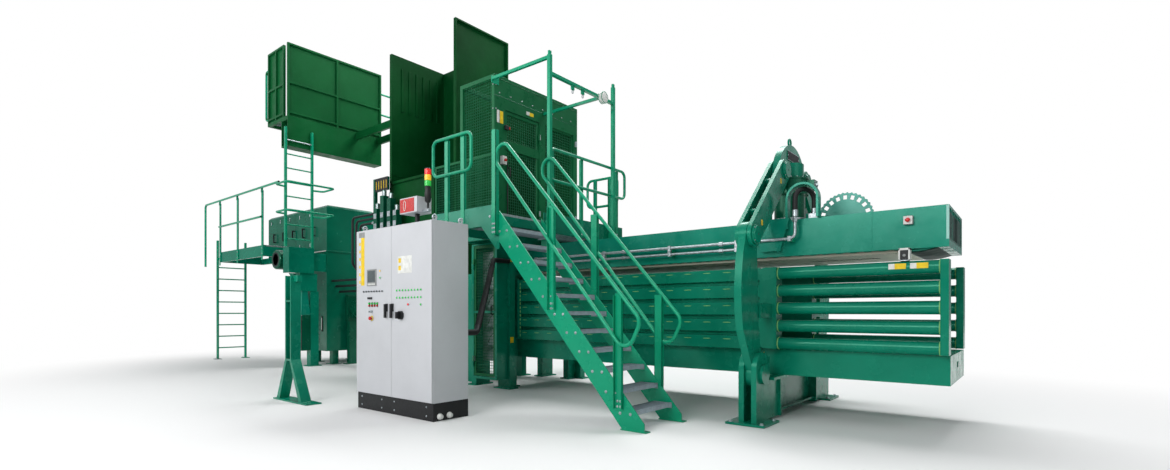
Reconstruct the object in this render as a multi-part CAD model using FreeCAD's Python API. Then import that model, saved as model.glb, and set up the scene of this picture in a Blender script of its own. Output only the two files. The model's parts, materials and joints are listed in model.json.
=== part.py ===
import FreeCAD, Part
import math
import os

# Channel baler with a squeeze yoke, tying station, feed hopper, power pack, stairs and cabinet.
# Frame: millimetres, +X along the channel towards the bale outlet, +Y the far side, +Z up.
# Origin: on the floor, midway between the two yoke feet, on the channel's centre line.

# ---------------------------------------------------------------- driving dimensions

# channel
CHANNEL_WIDTH = 1100.0
FLOOR_TOP = 770.0
FLOOR_BOTTOM = 480.0
BASE_WIDTH = 1220.0
BASE_END_X = 1745.0
WALL_TOP = 1700.0
WALL_OUTER = 720.0
WALL_LIFT = 10.0
WALL_START_X = -4020.0
BAND_PITCH = 198.0
BAND_HEIGHT = 145.0
GROOVE_DEPTH = 60.0
BAND_COUNT = 5
CAGE_PLATE_START_X = -90.0
CAGE_PLATE_LENGTH = 190.0
CAGE_END_X = 1710.0
CAGE_TUBE_DIAMETER = 133.0
CAGE_STRAP_WIDTH = 70.0

# press lid over the channel
LID_BOTTOM = 1830.0
LID_TOP = 2240.0
LID_WIDTH = 1146.0
LID_START_X = -3960.0
LID_END_X = 1730.0
LID_PLATE = 25.0
LID_RIBS = 7
LID_PIPE_Y = -673.0
LID_PIPE_Z = 2015.0
LID_PIPE_PITCH = 80.0
LID_PIPE_R = 17.0
LID_POCKET_DEPTH = 200.0
BELLY_WIDTH = 1060.0
BELLY_PLATE = 30.0
BELLY_TOE_LENGTH = 330.0
BELLY_TOE_RISE = 60.0
LID_PIVOT_X = -4055.0
LID_PIVOT_Z = 2035.0
LID_PIN_DIAMETER = 100.0
LID_EAR_RADIUS = 75.0

# squeeze yoke
YOKE_PLATE = 80.0
YOKE_GAP = 0.8
CHEEK_PLATE = 58.0
CHEEK_OUTER_Y = 1300.0
CHEEK_INNER_Y = 950.0
CHEEK_TOP = 765.0
FOOT_LENGTH = 430.0
FOOT_WIDTH = 430.0
FOOT_THICK = 25.0
FOOT_CENTRE_Y = 1167.5
ANCHOR_SPACING_X = 340.0
ANCHOR_SPACING_Y = 340.0
ANCHOR_HOLE_R = 14.0
LOWER_PIN_Y = 1120.0
LOWER_PIN_Z = 525.0
LOWER_PIN_R = 60.0
PIN_CAP_R = 105.0
PIN_CLEARANCE = 0.08
ARM_END_R = 140.0
UPPER_PIN_Y = 1290.0
UPPER_PIN_Z = 2010.0
UPPER_PIN_R = 50.0
ARM_BULGE_Y = 1545.0
ARM_INNER_Y = 1105.0
ARM_KNEE_Z = 1010.0
LINK_PLATE = 45.0
LINK_HALF_WIDTH = 132.0
HEAD_PIN_Y = 380.0
HEAD_PIN_Z = 2860.0
HEAD_PIN_R = 50.0
OPEN_PIVOT_CLEARANCE = 6.0
HEAD_R = 500.0
HEAD_CENTRE_Z = 2740.0
BARREL_R = 220.0
BARREL_NECK_R = 165.0
BARREL_JOINT = 2820.0
BARREL_STEP = 2620.0
BARREL_LOW_R = 180.0
BARREL_BOTTOM = 2300.0
ROD_R = 90.0

# bale length measuring wheel
WHEEL_X = 644.0
WHEEL_Z = 2276.0
WHEEL_R = 300.0
WHEEL_TOOTH = 14.0
WHEEL_THICK = 12.0
WHEEL_SLOTS = 20
WHEEL_PIVOT_X = 285.0
WHEEL_PIVOT_Z = 2330.0

# press chamber, tying station and main cylinder
CHAMBER_START_X = -7700.0
CHAMBER_END_X = -4900.0
CHAMBER_WALL = 90.0
CHAMBER_TOP = 1850.0
HOPPER_FRONT_X = -5740.0
FRAME_START_X = -4900.0
FRAME_END_X = -4140.0
COLUMN_OUTER_Y = 930.0
COLUMN_INNER_Y = 640.0
FRAME_TOP = 2260.0
COLUMN_END_X = -4000.0
NEEDLE_STROKE = 1300.0
RAM_STROKE = 2000.0
CYLINDER_R = 260.0
PISTON_LENGTH = 160.0
CYLINDER_LENGTH = RAM_STROKE + PISTON_LENGTH + 140.0
CHANNEL_AXIS_Z = 1280.0

# feed hopper
HOPPER_HALF = 640.0
HOPPER_REAR_TOP = 6360.0
HOPPER_FRONT_TOP = 6440.0
HOPPER_PLATE = 60.0
HOPPER_SKIN = 12.0
HOPPER_NEAR_TOP = 3780.0
HOPPER_NEAR_END_X = -6300.0

# platform, stairs and guard cage
PLATFORM_TOP = 2400.0
PLATFORM_EDGE_X = -2690.0
PLATFORM_NEAR_Y = -2350.0
PLATFORM_FAR_Y = 240.0
PLATFORM_BEAM = 140.0
TOE_BOARD = 110.0
CAGE_FRONT_X = -3740.0
CAGE_REAR_X = -4510.0
CAGE_NEAR_Y = -1480.0
CAGE_FAR_Y = 400.0
CAGE_TOP = 4650.0
CAGE_POST = 60.0
STAIR_STEPS = 12
STAIR_RISE = 200.0
STAIR_GOING = 178.0
STAIR_FAR_Y = -1600.0
STRINGER_PLATE = 12.0
STRINGER_DEPTH = 250.0
TREAD_DEPTH = 230.0
TREAD_THICK = 40.0
RAIL_R = 21.0
RAIL_CORNER = 75.0
TUBE_SIDES = 8
GALLOWS_TOP = 4590.0
WALKWAY_START_X = -3940.0

# control cabinet
CABINET_X = -3485.0
CABINET_WIDTH = 1540.0
CABINET_FRONT_Y = -3310.0
CABINET_DEPTH = 500.0
CABINET_PLINTH = 200.0
CABINET_HEIGHT = 2000.0
CABINET_SHEET = 20.0
CABINET_DOOR = 22.0
LAMP_PITCH = 58.0

# power pack, service deck and gallery
TANK_END_X = -10140.0
TANK_LENGTH = 1200.0
TANK_NEAR_Y = -730.0
TANK_WIDTH = 1460.0
TANK_BOTTOM = 310.0
TANK_TOP = 2560.0
TANK_LEDGE = 20.0
ENCLOSURE_LENGTH = 3050.0
ENCLOSURE_BOTTOM = TANK_TOP + 30.0
ENCLOSURE_TOP = 3620.0
DECK_START_X = -13640.0
DECK_END_X = -11040.0
DECK_NEAR_Y = -1700.0
DECK_BOTTOM = 2440.0
DECK_TOP = 2690.0
GALLERY_START_X = -11090.0
GALLERY_END_X = -10090.0
GALLERY_NEAR_Y = -1600.0
GALLERY_FAR_Y = 600.0
GALLERY_FLOOR = 5400.0
GALLERY_PANEL_TOP = 6960.0

# channel walls and their hinges
BASE_HALF = BASE_WIDTH / 2
INNER = CHANNEL_WIDTH / 2
WALL_BOTTOM = FLOOR_TOP + WALL_LIFT
TUBE_R = CAGE_TUBE_DIAMETER / 2
WALL_HINGE_X = -4085.0
WALL_HINGE_Y = 690.0
WALL_HINGE_R = 30.0
WALL_LUGS = 3
LUG_HEIGHT = 80.0
LUG_HALF = 45.0
SWITCH_BOX_X = 1317.0
SWITCH_BOX_WIDTH = 100.0
SWITCH_BOX_HEIGHT = 128.0

# lid, its pivots and the stop buttons
LID_HALF = LID_WIDTH / 2
HOSE_START_X = 290.0
STOP_BOX_DEPTH = 55.0
STOP_STEM = 14.0
STOP_STEM_R = 10.0
STOP_SOCKET_DEPTH = 9.0
LID_STOP = (1387.0, -LID_HALF, 2113.0)
CAGE_STOP = (CAGE_FRONT_X, -1325.0, 3416.0)
CABINET_STOP = (-3900.0, CABINET_FRONT_Y, 1118.0)
EAR_Y = (310.0, 370.0)
BRACKET_Y = (372.0, 432.0)

# yoke plates
SLOT_HALF = YOKE_PLATE / 2 + YOKE_GAP
CHEEK_OUT = SLOT_HALF + CHEEK_PLATE

# guard door, its hinges and the needle rails
TYING_DOOR_X = (-4580.0, -4100.0)
TYING_DOOR_Z = (196.0, FRAME_TOP - 26.0)
KNUCKLE_HEIGHT = 80.0
KNUCKLE_GAP = 0.3
KNUCKLE_R = 12.0
KNUCKLE_LEAF = 30.0
TYING_HINGE = (TYING_DOOR_X[0] - 2, -1162.0)
TYING_HINGE_Z = (420.0, 1950.0)
CAGE_HINGE = (CAGE_FRONT_X + 12, -532.0)
CAGE_HINGE_Z = (2700.0, 3900.0)
NEEDLE_RAIL_Z = (738.0, 1752.0)
NEEDLE_RAIL_DEEP = 60.0

# cage openings
DOOR_Y = (-1270.0, -530.0)
WINDOW_Y = (-400.0, 300.0)
HEADER_Z = 4180.0
SILL_Z = 2560.0

# stairs
STAIR_SLOPE = STAIR_RISE / STAIR_GOING
STAIR_ANGLE = math.atan(STAIR_SLOPE)

# cabinet
CABINET_X0 = CABINET_X - CABINET_WIDTH / 2
CABINET_X1 = CABINET_X + CABINET_WIDTH / 2
BODY_FRONT_Y = CABINET_FRONT_Y + CABINET_DOOR
BODY_BACK_Y = CABINET_FRONT_Y + CABINET_DEPTH
CABINET_TOP = CABINET_PLINTH + CABINET_HEIGHT
STOP_COLLAR = 10.0
MAIN_SWITCH_X = -3283.0

# tank and motor
TANK_START_X = TANK_END_X - TANK_LENGTH
TANK_FAR_Y = TANK_NEAR_Y + TANK_WIDTH
MOTOR_FINS = 16


# ---------------------------------------------------------------- small helpers

V = FreeCAD.Vector
X_AXIS = V(1, 0, 0)
Y_AXIS = V(0, 1, 0)
Z_AXIS = V(0, 0, 1)


def block(x, y, z):
    """A box between two limits on each axis; each argument is a (low, high) pair in either order."""
    low = V(min(x), min(y), min(z))
    return Part.makeBox(abs(x[1] - x[0]), abs(y[1] - y[0]), abs(z[1] - z[0]), low)


def rod(centre, axis, radius, length):
    """A cylinder that starts at a point and runs along an axis."""
    return Part.makeCylinder(radius, length, V(*centre), axis)


def disc_through(centre, axis, radius, half):
    """A cylinder centred on a point."""
    return Part.makeCylinder(radius, 2 * half, V(*centre) - axis * half, axis)


def plate_xz(points, y):
    """A closed outline in the XZ plane, pulled between two Y values."""
    face = Part.Face(Part.makePolygon([V(px, y[0], pz) for px, pz in points + points[:1]]))
    return face.extrude(V(0, y[1] - y[0], 0))


def plate_yz(points, x):
    """A closed outline in the YZ plane, pulled between two X values."""
    face = Part.Face(Part.makePolygon([V(x[0], py, pz) for py, pz in points + points[:1]]))
    return face.extrude(V(x[1] - x[0], 0, 0))


def fuse(shapes):
    """Welds pieces into one solid and drops the seams between coplanar faces."""
    return shapes[0].fuse(shapes[1:]).removeSplitter() if len(shapes) > 1 else shapes[0]


def group(shapes):
    """Separate solids in one node."""
    return Part.makeCompound(shapes)


def mirror_y(shape):
    """The far-side twin of a near-side shape."""
    return shape.mirror(V(0, 0, 0), Y_AXIS)


def cut_corners(points, cut, closed):
    """The path's corners, each replaced by the two ends of a short straight across it."""
    count = len(points)
    path = []
    for i, point in enumerate(points):
        here = V(*point)
        if not closed and i in (0, count - 1):
            path.append(here)
            continue
        before = (V(*points[i - 1]) - here).normalize()
        after = (V(*points[(i + 1) % count]) - here).normalize()
        path += [here + before * cut, here + after * cut]
    return path


def tube(points, radius, cut=0.0, closed=False):
    """A tube along a path with cut corners, its round section drawn with flat sides."""
    path = cut_corners(points, cut, closed) if cut else [V(*p) for p in points]
    if closed:
        seam = (path[0] + path[-1]) * 0.5
        path = [seam] + path + [seam]
    run = (path[1] - path[0]).normalize()
    across = run.cross(Z_AXIS if abs(run.z) < 0.9 else Y_AXIS).normalize()
    up = run.cross(across)
    corner = radius / math.cos(math.pi / TUBE_SIDES)
    ring = []
    for i in range(TUBE_SIDES):
        angle = 2 * math.pi * (i + 0.5) / TUBE_SIDES
        ring.append(path[0] + across * (corner * math.cos(angle)) + up * (corner * math.sin(angle)))
    outline = Part.makePolygon(ring + ring[:1])
    if len(path) == 2:
        return Part.Face(outline).extrude(path[1] - path[0])
    return Part.makePolygon(path).makePipeShell([outline], True, False, 1)


def bar_grid(u, v, depth, frame, bar, columns, rows, place):
    """A framed grille: one flat panel with a grid of openings; place maps (u, v, depth) pairs to a box."""
    panel = place(u, v, depth)
    u_step = (u[1] - u[0] - 2 * frame + bar) / columns
    v_step = (v[1] - v[0] - 2 * frame + bar) / rows
    holes = []
    for i in range(columns):
        for j in range(rows):
            u0 = u[0] + frame + i * u_step
            v0 = v[0] + frame + j * v_step
            wide = (depth[0] - 1, depth[1] + 1)
            holes.append(place((u0, u0 + u_step - bar), (v0, v0 + v_step - bar), wide))
    return panel.cut(holes)


def grille_xz(x, z, y, frame, bar, columns, rows):
    """Grille standing along X."""
    return bar_grid(x, z, y, frame, bar, columns, rows, lambda u, v, d: block(u, d, v))


def grille_yz(y, z, x, frame, bar, columns, rows):
    """Grille standing along Y."""
    return bar_grid(y, z, x, frame, bar, columns, rows, lambda u, v, d: block(d, u, v))


def grille_xy(x, y, z, frame, bar, columns, rows):
    """Grille lying flat."""
    return bar_grid(x, y, z, frame, bar, columns, rows, lambda u, v, d: block(u, v, d))


# ---------------------------------------------------------------- channel

def band_centres():
    """Heights of the wall bands, which the outlet tubes continue."""
    top = WALL_TOP - TUBE_R
    return [top - i * BAND_PITCH for i in range(BAND_COUNT)]


def base_beam():
    """Box base under the channel, open below between cross ribs, with a wear floor on top."""
    skin = 30.0
    shell = block((FRAME_END_X, BASE_END_X), (-BASE_HALF, BASE_HALF), (FLOOR_BOTTOM, FLOOR_TOP))
    cells = 6
    cell = (BASE_END_X - FRAME_END_X - skin) / cells
    hollows = []
    for i in range(cells):
        start = FRAME_END_X + skin + i * cell
        inside = (-BASE_HALF + skin, BASE_HALF - skin)
        hollows.append(block((start, start + cell - skin), inside, (FLOOR_BOTTOM - 1, FLOOR_TOP - 40)))
    slot = block((BASE_END_X - 60, BASE_END_X + 1), (-60, 60), (FLOOR_TOP - 150, FLOOR_TOP - 90))
    return shell.cut(hollows + [slot])


def wall_section():
    """The wall's outline across the channel: flat inside, bands and grooves outside."""
    points = [(-INNER, WALL_BOTTOM), (-INNER, WALL_TOP)]
    slant = 12.0
    for centre in band_centres():
        top = min(centre + BAND_HEIGHT / 2, WALL_TOP)
        low = centre - BAND_HEIGHT / 2
        if top < WALL_TOP:
            points.append((-WALL_OUTER + GROOVE_DEPTH, top + slant))
        points.append((-WALL_OUTER, top))
        points.append((-WALL_OUTER, low))
        points.append((-WALL_OUTER + GROOVE_DEPTH, low - slant))
    points.append((-WALL_OUTER + GROOVE_DEPTH, WALL_BOTTOM))
    return points


def wall_lug_heights(shift):
    """Three lug levels up the wall's hinge; the frame's lugs sit one lug below the wall's."""
    step = (WALL_TOP - WALL_BOTTOM - 2 * LUG_HEIGHT) / (WALL_LUGS - 1)
    return [WALL_BOTTOM + LUG_HEIGHT + i * step - shift for i in range(WALL_LUGS)]


def side_wall_near():
    """Near channel wall: profiled plate, hinge lugs, cage of tubes at the outlet and a thrust pad."""
    parts = [plate_yz(wall_section(), (WALL_START_X, CAGE_PLATE_START_X))]
    plate_end = CAGE_PLATE_START_X + CAGE_PLATE_LENGTH
    cage_plate = block((CAGE_PLATE_START_X, plate_end), (-WALL_OUTER - 15, -INNER),
                       (WALL_BOTTOM, WALL_TOP))
    verticals = [e for e in cage_plate.Edges
                 if abs(e.tangentAt(e.FirstParameter).y) > 0.99 and e.CenterOfMass.x < plate_end - 1]
    parts.append(cage_plate.makeFillet(50, verticals))
    strap_start = CAGE_END_X - CAGE_STRAP_WIDTH / 2
    for centre in band_centres():
        parts.append(rod((plate_end - 5, -WALL_OUTER + TUBE_R, centre), X_AXIS, TUBE_R,
                         strap_start - plate_end + 10))
    parts.append(block((strap_start, strap_start + CAGE_STRAP_WIDTH), (-WALL_OUTER - 15, -INNER - 25),
                       (WALL_BOTTOM, WALL_TOP)))
    parts.append(block((-60, 60), (-ARM_INNER_Y + 18, -WALL_OUTER), (1130, 1290)))
    parts.append(block((WALL_START_X, WALL_START_X + 40), (-WALL_OUTER - 40, -INNER),
                       (WALL_BOTTOM, WALL_TOP)))
    wall = fuse(parts)
    for low in wall_lug_heights(0):
        lug = block((WALL_HINGE_X - LUG_HALF, WALL_START_X),
                    (-WALL_HINGE_Y - LUG_HALF, -WALL_HINGE_Y + LUG_HALF),
                    (low, low + LUG_HEIGHT))
        wall = wall.fuse(lug)
    bore = rod((WALL_HINGE_X, -WALL_HINGE_Y, WALL_BOTTOM - 50), Z_AXIS, WALL_HINGE_R + PIN_CLEARANCE,
               WALL_TOP - WALL_BOTTOM + 100)
    return wall.cut(bore)


def outlet_switch_box():
    """Limit switch box on the near cage's top tube."""
    x0 = SWITCH_BOX_X
    x1 = x0 + SWITCH_BOX_WIDTH
    body = block((x0, x1), (-715, -620), (WALL_TOP + 12, WALL_TOP + SWITCH_BOX_HEIGHT))
    foot = block((x0 + 10, x1 - 10), (-700, -630), (WALL_TOP, WALL_TOP + 12))
    return fuse([body, foot])


# ---------------------------------------------------------------- press lid

def lid_belly():
    """Wear plate under the lid; its toe turns up at the outlet and its heel at the hinge."""
    half = BELLY_WIDTH / 2
    low = LID_BOTTOM - BELLY_PLATE
    toe_start = LID_END_X - BELLY_TOE_LENGTH
    mid = (toe_start + BELLY_TOE_LENGTH * 0.55, low + BELLY_TOE_RISE * 0.28)
    outline = Part.Wire([
        Part.LineSegment(V(LID_START_X, -half, low), V(toe_start, -half, low)).toShape(),
        Part.Arc(V(toe_start, -half, low), V(mid[0], -half, mid[1]),
                 V(LID_END_X - 20, -half, low + BELLY_TOE_RISE)).toShape(),
        Part.LineSegment(V(LID_END_X - 20, -half, low + BELLY_TOE_RISE),
                         V(LID_END_X - 20, -half, LID_BOTTOM + 60)).toShape(),
        Part.LineSegment(V(LID_END_X - 20, -half, LID_BOTTOM + 60),
                         V(LID_START_X, -half, LID_BOTTOM + 60)).toShape(),
        Part.LineSegment(V(LID_START_X, -half, LID_BOTTOM + 60), V(LID_START_X, -half, low)).toShape(),
    ])
    return Part.Face(outline).extrude(V(0, BELLY_WIDTH, 0))


def lid_pockets():
    """Open pockets between the lengthways ribs, seen at the outlet end."""
    cells = LID_RIBS + 1
    pitch = (LID_WIDTH - LID_PLATE) / cells
    start = LID_END_X - LID_POCKET_DEPTH
    pockets = []
    for i in range(cells):
        y0 = -LID_HALF + LID_PLATE + i * pitch
        pockets.append(block((start, LID_END_X + 1), (y0, y0 + pitch - LID_PLATE),
                             (LID_BOTTOM + BELLY_TOE_RISE + 30, LID_TOP - LID_PLATE)))
    return pockets


def hollow_middle():
    """The inside of the lid's box, in cells between cross ribs, clear of the wheel slot."""
    limits = [LID_START_X + 60, -2800, -1650, -500]
    cells = []
    for a, b in zip(limits[:-1], limits[1:]):
        cells.append(block((a, b - 40), (-LID_HALF + LID_PLATE, LID_HALF - LID_PLATE),
                           (LID_BOTTOM + 30, LID_TOP - LID_PLATE)))
    return cells


def press_lid():
    """Press beam over the channel, hinged at the tying frame and pushed down by the squeeze cylinder."""
    body = fuse([block((LID_START_X, LID_END_X), (-LID_HALF, LID_HALF), (LID_BOTTOM, LID_TOP)),
                 lid_belly()])
    wheel_slot = block((WHEEL_X - 400, WHEEL_X + 370), (-36, 36), (LID_BOTTOM - 60, LID_TOP + 1))
    body = body.cut(lid_pockets() + hollow_middle() + [wheel_slot])
    ears = []
    for y0, y1 in (EAR_Y, (-EAR_Y[1], -EAR_Y[0])):
        ears.append(rod((LID_PIVOT_X, y0, LID_PIVOT_Z), Y_AXIS, LID_EAR_RADIUS, y1 - y0))
        ears.append(block((LID_PIVOT_X, LID_START_X), (y0, y1),
                          (LID_PIVOT_Z - LID_EAR_RADIUS, LID_PIVOT_Z + LID_EAR_RADIUS)))
    seat = rod((0, 0, LID_TOP), Z_AXIS, ROD_R + 50, 45)
    cup = rod((0, 0, LID_TOP + 20), Z_AXIS, ROD_R + 2 * OPEN_PIVOT_CLEARANCE, 60)
    flank_top, flank_low = LID_TOP + 15, LID_BOTTOM + 60
    flank = plate_xz([(-215, flank_top), (215, flank_top), (110, flank_low), (-110, flank_low)],
                     (-LID_HALF - 75, -LID_HALF))
    wheel_bracket = [block((WHEEL_PIVOT_X - 60, WHEEL_PIVOT_X + 60), (y, y + 20),
                           (LID_TOP, WHEEL_PIVOT_Z + 45)) for y in (-92, 72)]
    lid = fuse([body] + ears + [seat.cut(cup), flank, mirror_y(flank)] + wheel_bracket
               + [hose_guard(), valve_block(), stop_box(LID_STOP, "-Y")])
    bore = rod((LID_PIVOT_X, -500, LID_PIVOT_Z), Y_AXIS, LID_PIN_DIAMETER / 2 + PIN_CLEARANCE, 1000)
    shaft = rod((WHEEL_PIVOT_X, -100, WHEEL_PIVOT_Z), Y_AXIS, 20 + PIN_CLEARANCE, 200)
    return lid.cut([bore, shaft])


def hose_guard():
    """Flat strip that arches over the hoses beside the squeeze cylinder, from the flank to the lid's top."""
    outer, thick, centre_x, centre_z = 180.0, 26.0, 350.0, 2460.0
    y = (-LID_HALF - 67, -LID_HALF + 28)
    arch = rod((centre_x, y[0], centre_z), Y_AXIS, outer, y[1] - y[0])
    arch = arch.cut(rod((centre_x, y[0] - 1, centre_z), Y_AXIS, outer - thick, y[1] - y[0] + 2))
    arch = arch.common(block((centre_x - outer, centre_x + outer), y, (centre_z, centre_z + outer)))
    left = (centre_x - outer, centre_x - outer + thick)
    right = (centre_x + outer - thick, centre_x + outer)
    legs = [block(left, y, (LID_TOP, centre_z)), block(right, y, (LID_TOP, centre_z)),
            block(left, (y[0], -LID_HALF), (LID_TOP - 110, LID_TOP))]
    return fuse([arch] + legs)


def valve_block():
    """Manifold on the lid behind the cylinder, where the hoses end."""
    base = block((-380, -150), (-420, -180), (LID_TOP, LID_TOP + 210))
    return base


def lid_pipes():
    """Two hydraulic pipes along the lid's near flank; the upper one rises to the hoses past the yoke."""
    y, upper, lower = LID_PIPE_Y, LID_PIPE_Z, LID_PIPE_Z - LID_PIPE_PITCH
    riser_top = (HOSE_START_X, y, LID_TOP + 20)
    pipes = [tube([(-3700, y, upper), (HOSE_START_X, y, upper), riser_top], LID_PIPE_R, 45),
             tube([(-3700, y, lower), (-330, y, lower)], LID_PIPE_R)]
    clamps = [block((x, x + 50), (-LID_HALF, y - 22), (lower - 30, upper + 30))
              for x in (-3300, -2380, -1330, -420)]
    clamps.append(block((HOSE_START_X - 85, HOSE_START_X - 35), (-LID_HALF, y - 22),
                        (upper - 30, upper + 30)))
    return fuse(pipes + clamps)


def lid_hoses():
    """Thick hose from the riser, up under the guard strip and down to its fitting on the lid."""
    start = (HOSE_START_X, LID_PIPE_Y, LID_TOP + 20)
    x1, y1 = HOSE_START_X + 145, -LID_HALF + 110
    arch = LID_TOP + 330
    hose = tube([start, (start[0], start[1], arch), (x1, y1, arch), (x1, y1, LID_TOP + 60)], 28, 90)
    fitting = block((x1 - 50, x1 + 50), (y1 - 45, y1 + 45), (LID_TOP, LID_TOP + 60))
    return fuse([hose, fitting])


def stop_box(place, normal, size=80.0, height=80.0):
    """Housing of an emergency stop on a face at place; its button looks along -Y or +X."""
    x, y, z = place
    tall = (z - height / 2, z + height / 2)
    if normal == "-Y":
        box = block((x - size / 2, x + size / 2), (y - STOP_BOX_DEPTH, y), tall)
    else:
        box = block((x, x + STOP_BOX_DEPTH), (y - size / 2, y + size / 2), tall)
    return box.cut(stop_socket(place, normal, STOP_BOX_DEPTH))


def stop_socket(place, normal, housing):
    """The hole that the button's stem slides in."""
    axis = V(0, -1, 0) if normal == "-Y" else X_AXIS
    floor = V(*place) + axis * (housing - STOP_SOCKET_DEPTH)
    return rod(tuple(floor), axis, STOP_STEM_R + 1.4, STOP_SOCKET_DEPTH + 1)


def stop_button(place, normal, housing=STOP_BOX_DEPTH):
    """Mushroom button on its stem, standing off its housing by the travel."""
    axis = V(0, -1, 0) if normal == "-Y" else X_AXIS
    base = V(*place) + axis * housing
    stem = tube([tuple(base - axis * 2), tuple(base + axis * (STOP_STEM + 1))], STOP_STEM_R)
    cap = tube([tuple(base + axis * STOP_STEM), tuple(base + axis * (STOP_STEM + 16))], 22)
    return fuse([stem, cap])


# ---------------------------------------------------------------- squeeze yoke

def round_end_yz(centre, radius, x):
    """Round boss of a plate's end, given in Y and Z and pulled between two X."""
    return rod((x[0], centre[0], centre[1]), X_AXIS, radius, x[1] - x[0])


def yoke_post():
    """Near foot: base plate with anchor holes, two clevis cheeks and the post that joins the beam."""
    y0, y1 = FOOT_CENTRE_Y - FOOT_WIDTH / 2, FOOT_CENTRE_Y + FOOT_WIDTH / 2
    foot = block((-FOOT_LENGTH / 2, FOOT_LENGTH / 2), (-y1, -y0), (0, FOOT_THICK))
    holes = [rod((sx * ANCHOR_SPACING_X / 2, -FOOT_CENTRE_Y + sy * ANCHOR_SPACING_Y / 2, -1), Z_AXIS,
                 ANCHOR_HOLE_R, FOOT_THICK + 2) for sx in (-1, 1) for sy in (-1, 1)]
    foot = foot.cut(holes)
    cheek_mid = (CHEEK_OUTER_Y + CHEEK_INNER_Y) / 2
    radius = (CHEEK_OUTER_Y - CHEEK_INNER_Y) / 2
    cheeks = []
    for side in (-1, 1):
        x = sorted((side * SLOT_HALF, side * CHEEK_OUT))
        cheeks.append(block(x, (-CHEEK_OUTER_Y, -CHEEK_INNER_Y), (FOOT_THICK, CHEEK_TOP - radius)))
        cheeks.append(round_end_yz((-cheek_mid, CHEEK_TOP - radius), radius, x))
    post = block((-CHEEK_OUT, CHEEK_OUT), (-CHEEK_INNER_Y, -BASE_HALF - 30), (FOOT_THICK, FLOOR_BOTTOM - 30))
    gusset = block((-CHEEK_OUT - 30, CHEEK_OUT + 30), (-BASE_HALF - 60, -BASE_HALF - 30),
                   (FOOT_THICK, FLOOR_BOTTOM - 30))
    shelf = block((-CHEEK_OUT - 60, CHEEK_OUT + 60), (-CHEEK_INNER_Y, -INNER + 40),
                  (FLOOR_BOTTOM - 30, FLOOR_BOTTOM))
    back = block((-CHEEK_OUT, CHEEK_OUT), (-CHEEK_INNER_Y, -CHEEK_INNER_Y + 30),
                 (FLOOR_BOTTOM, FLOOR_TOP - 60))
    return fuse([foot] + cheeks + [post, gusset, shelf, back])


def yoke_stand():
    """Both feet and the deep cross beam that carries the channel between them."""
    near = yoke_post()
    beam_web = block((-30, 30), (-BASE_HALF - 30, BASE_HALF + 30), (90, FLOOR_BOTTOM - 30))
    flange = block((-CHEEK_OUT, CHEEK_OUT), (-BASE_HALF - 30, BASE_HALF + 30), (70, 90))
    top = block((-CHEEK_OUT, CHEEK_OUT), (-INNER + 40, INNER - 40), (FLOOR_BOTTOM - 30, FLOOR_BOTTOM))
    stand = fuse([near, mirror_y(near), beam_web, flange, top])
    bores = [disc_through((0, side * LOWER_PIN_Y, LOWER_PIN_Z), X_AXIS, LOWER_PIN_R, CHEEK_OUT + 50)
             for side in (-1, 1)]
    return stand.cut(bores)


def clevis_pin(y, z, radius, reach, cap_radius):
    """Pin with a round cap on the outlet side and a keeper bar across its other end."""
    shaft = Part.makeCylinder(radius, 2 * reach + 30, V(-reach - 30, y, z), X_AXIS)
    cap = Part.makeCylinder(cap_radius, 32, V(reach, y, z), X_AXIS)
    keeper = block((-reach - 18, -reach), (y - cap_radius, y + cap_radius), (z - radius / 2, z + radius / 2))
    return fuse([shaft, cap, keeper])


def yoke_lower_pins():
    """Pins that carry the two arms in the feet."""
    pin = clevis_pin(-LOWER_PIN_Y, LOWER_PIN_Z, LOWER_PIN_R, CHEEK_OUT, PIN_CAP_R)
    return group([pin, mirror_y(pin)])


def arm_outline():
    """Curved plate between the lower and the upper pin, bulging outwards."""
    ly, lz, uy, uz, r = -LOWER_PIN_Y, LOWER_PIN_Z, -UPPER_PIN_Y, UPPER_PIN_Z, ARM_END_R
    x = -YOKE_PLATE / 2
    knee = (-ARM_BULGE_Y + 45, ARM_KNEE_Z)
    top_out, top_in = (uy - r, uz), (uy + r, uz)
    low_out, low_in = (ly - r * 0.94, lz + r * 0.34), (ly + r, lz)
    inner_knee = (-ARM_INNER_Y + 10, ARM_KNEE_Z + 60)
    belly_mid = (-ARM_BULGE_Y, (ARM_KNEE_Z + uz) / 2 - 60)

    def at(p):
        return V(x, p[0], p[1])

    def line(a, b):
        return Part.LineSegment(at(a), at(b)).toShape()

    def arc(a, m, b):
        return Part.Arc(at(a), at(m), at(b)).toShape()

    return Part.Wire([
        arc(top_in, (uy, uz + r), top_out),
        arc(top_out, belly_mid, knee),
        line(knee, low_out),
        arc(low_out, (ly, lz - r), low_in),
        line(low_in, inner_knee),
        arc(inner_knee, (-ARM_INNER_Y - 5, 1450), top_in),
    ])


def yoke_arm_near():
    """Squeeze arm: one thick curved plate with its upper pin and a shackle lug near the top."""
    plate = Part.Face(arm_outline()).extrude(V(YOKE_PLATE, 0, 0))
    bore = disc_through((0, -LOWER_PIN_Y, LOWER_PIN_Z), X_AXIS, LOWER_PIN_R + PIN_CLEARANCE, 100)
    plate = plate.cut(bore)
    pin = clevis_pin(-UPPER_PIN_Y, UPPER_PIN_Z, UPPER_PIN_R, SLOT_HALF + LINK_PLATE + YOKE_GAP, 90)
    return fuse([plate, pin])


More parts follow.
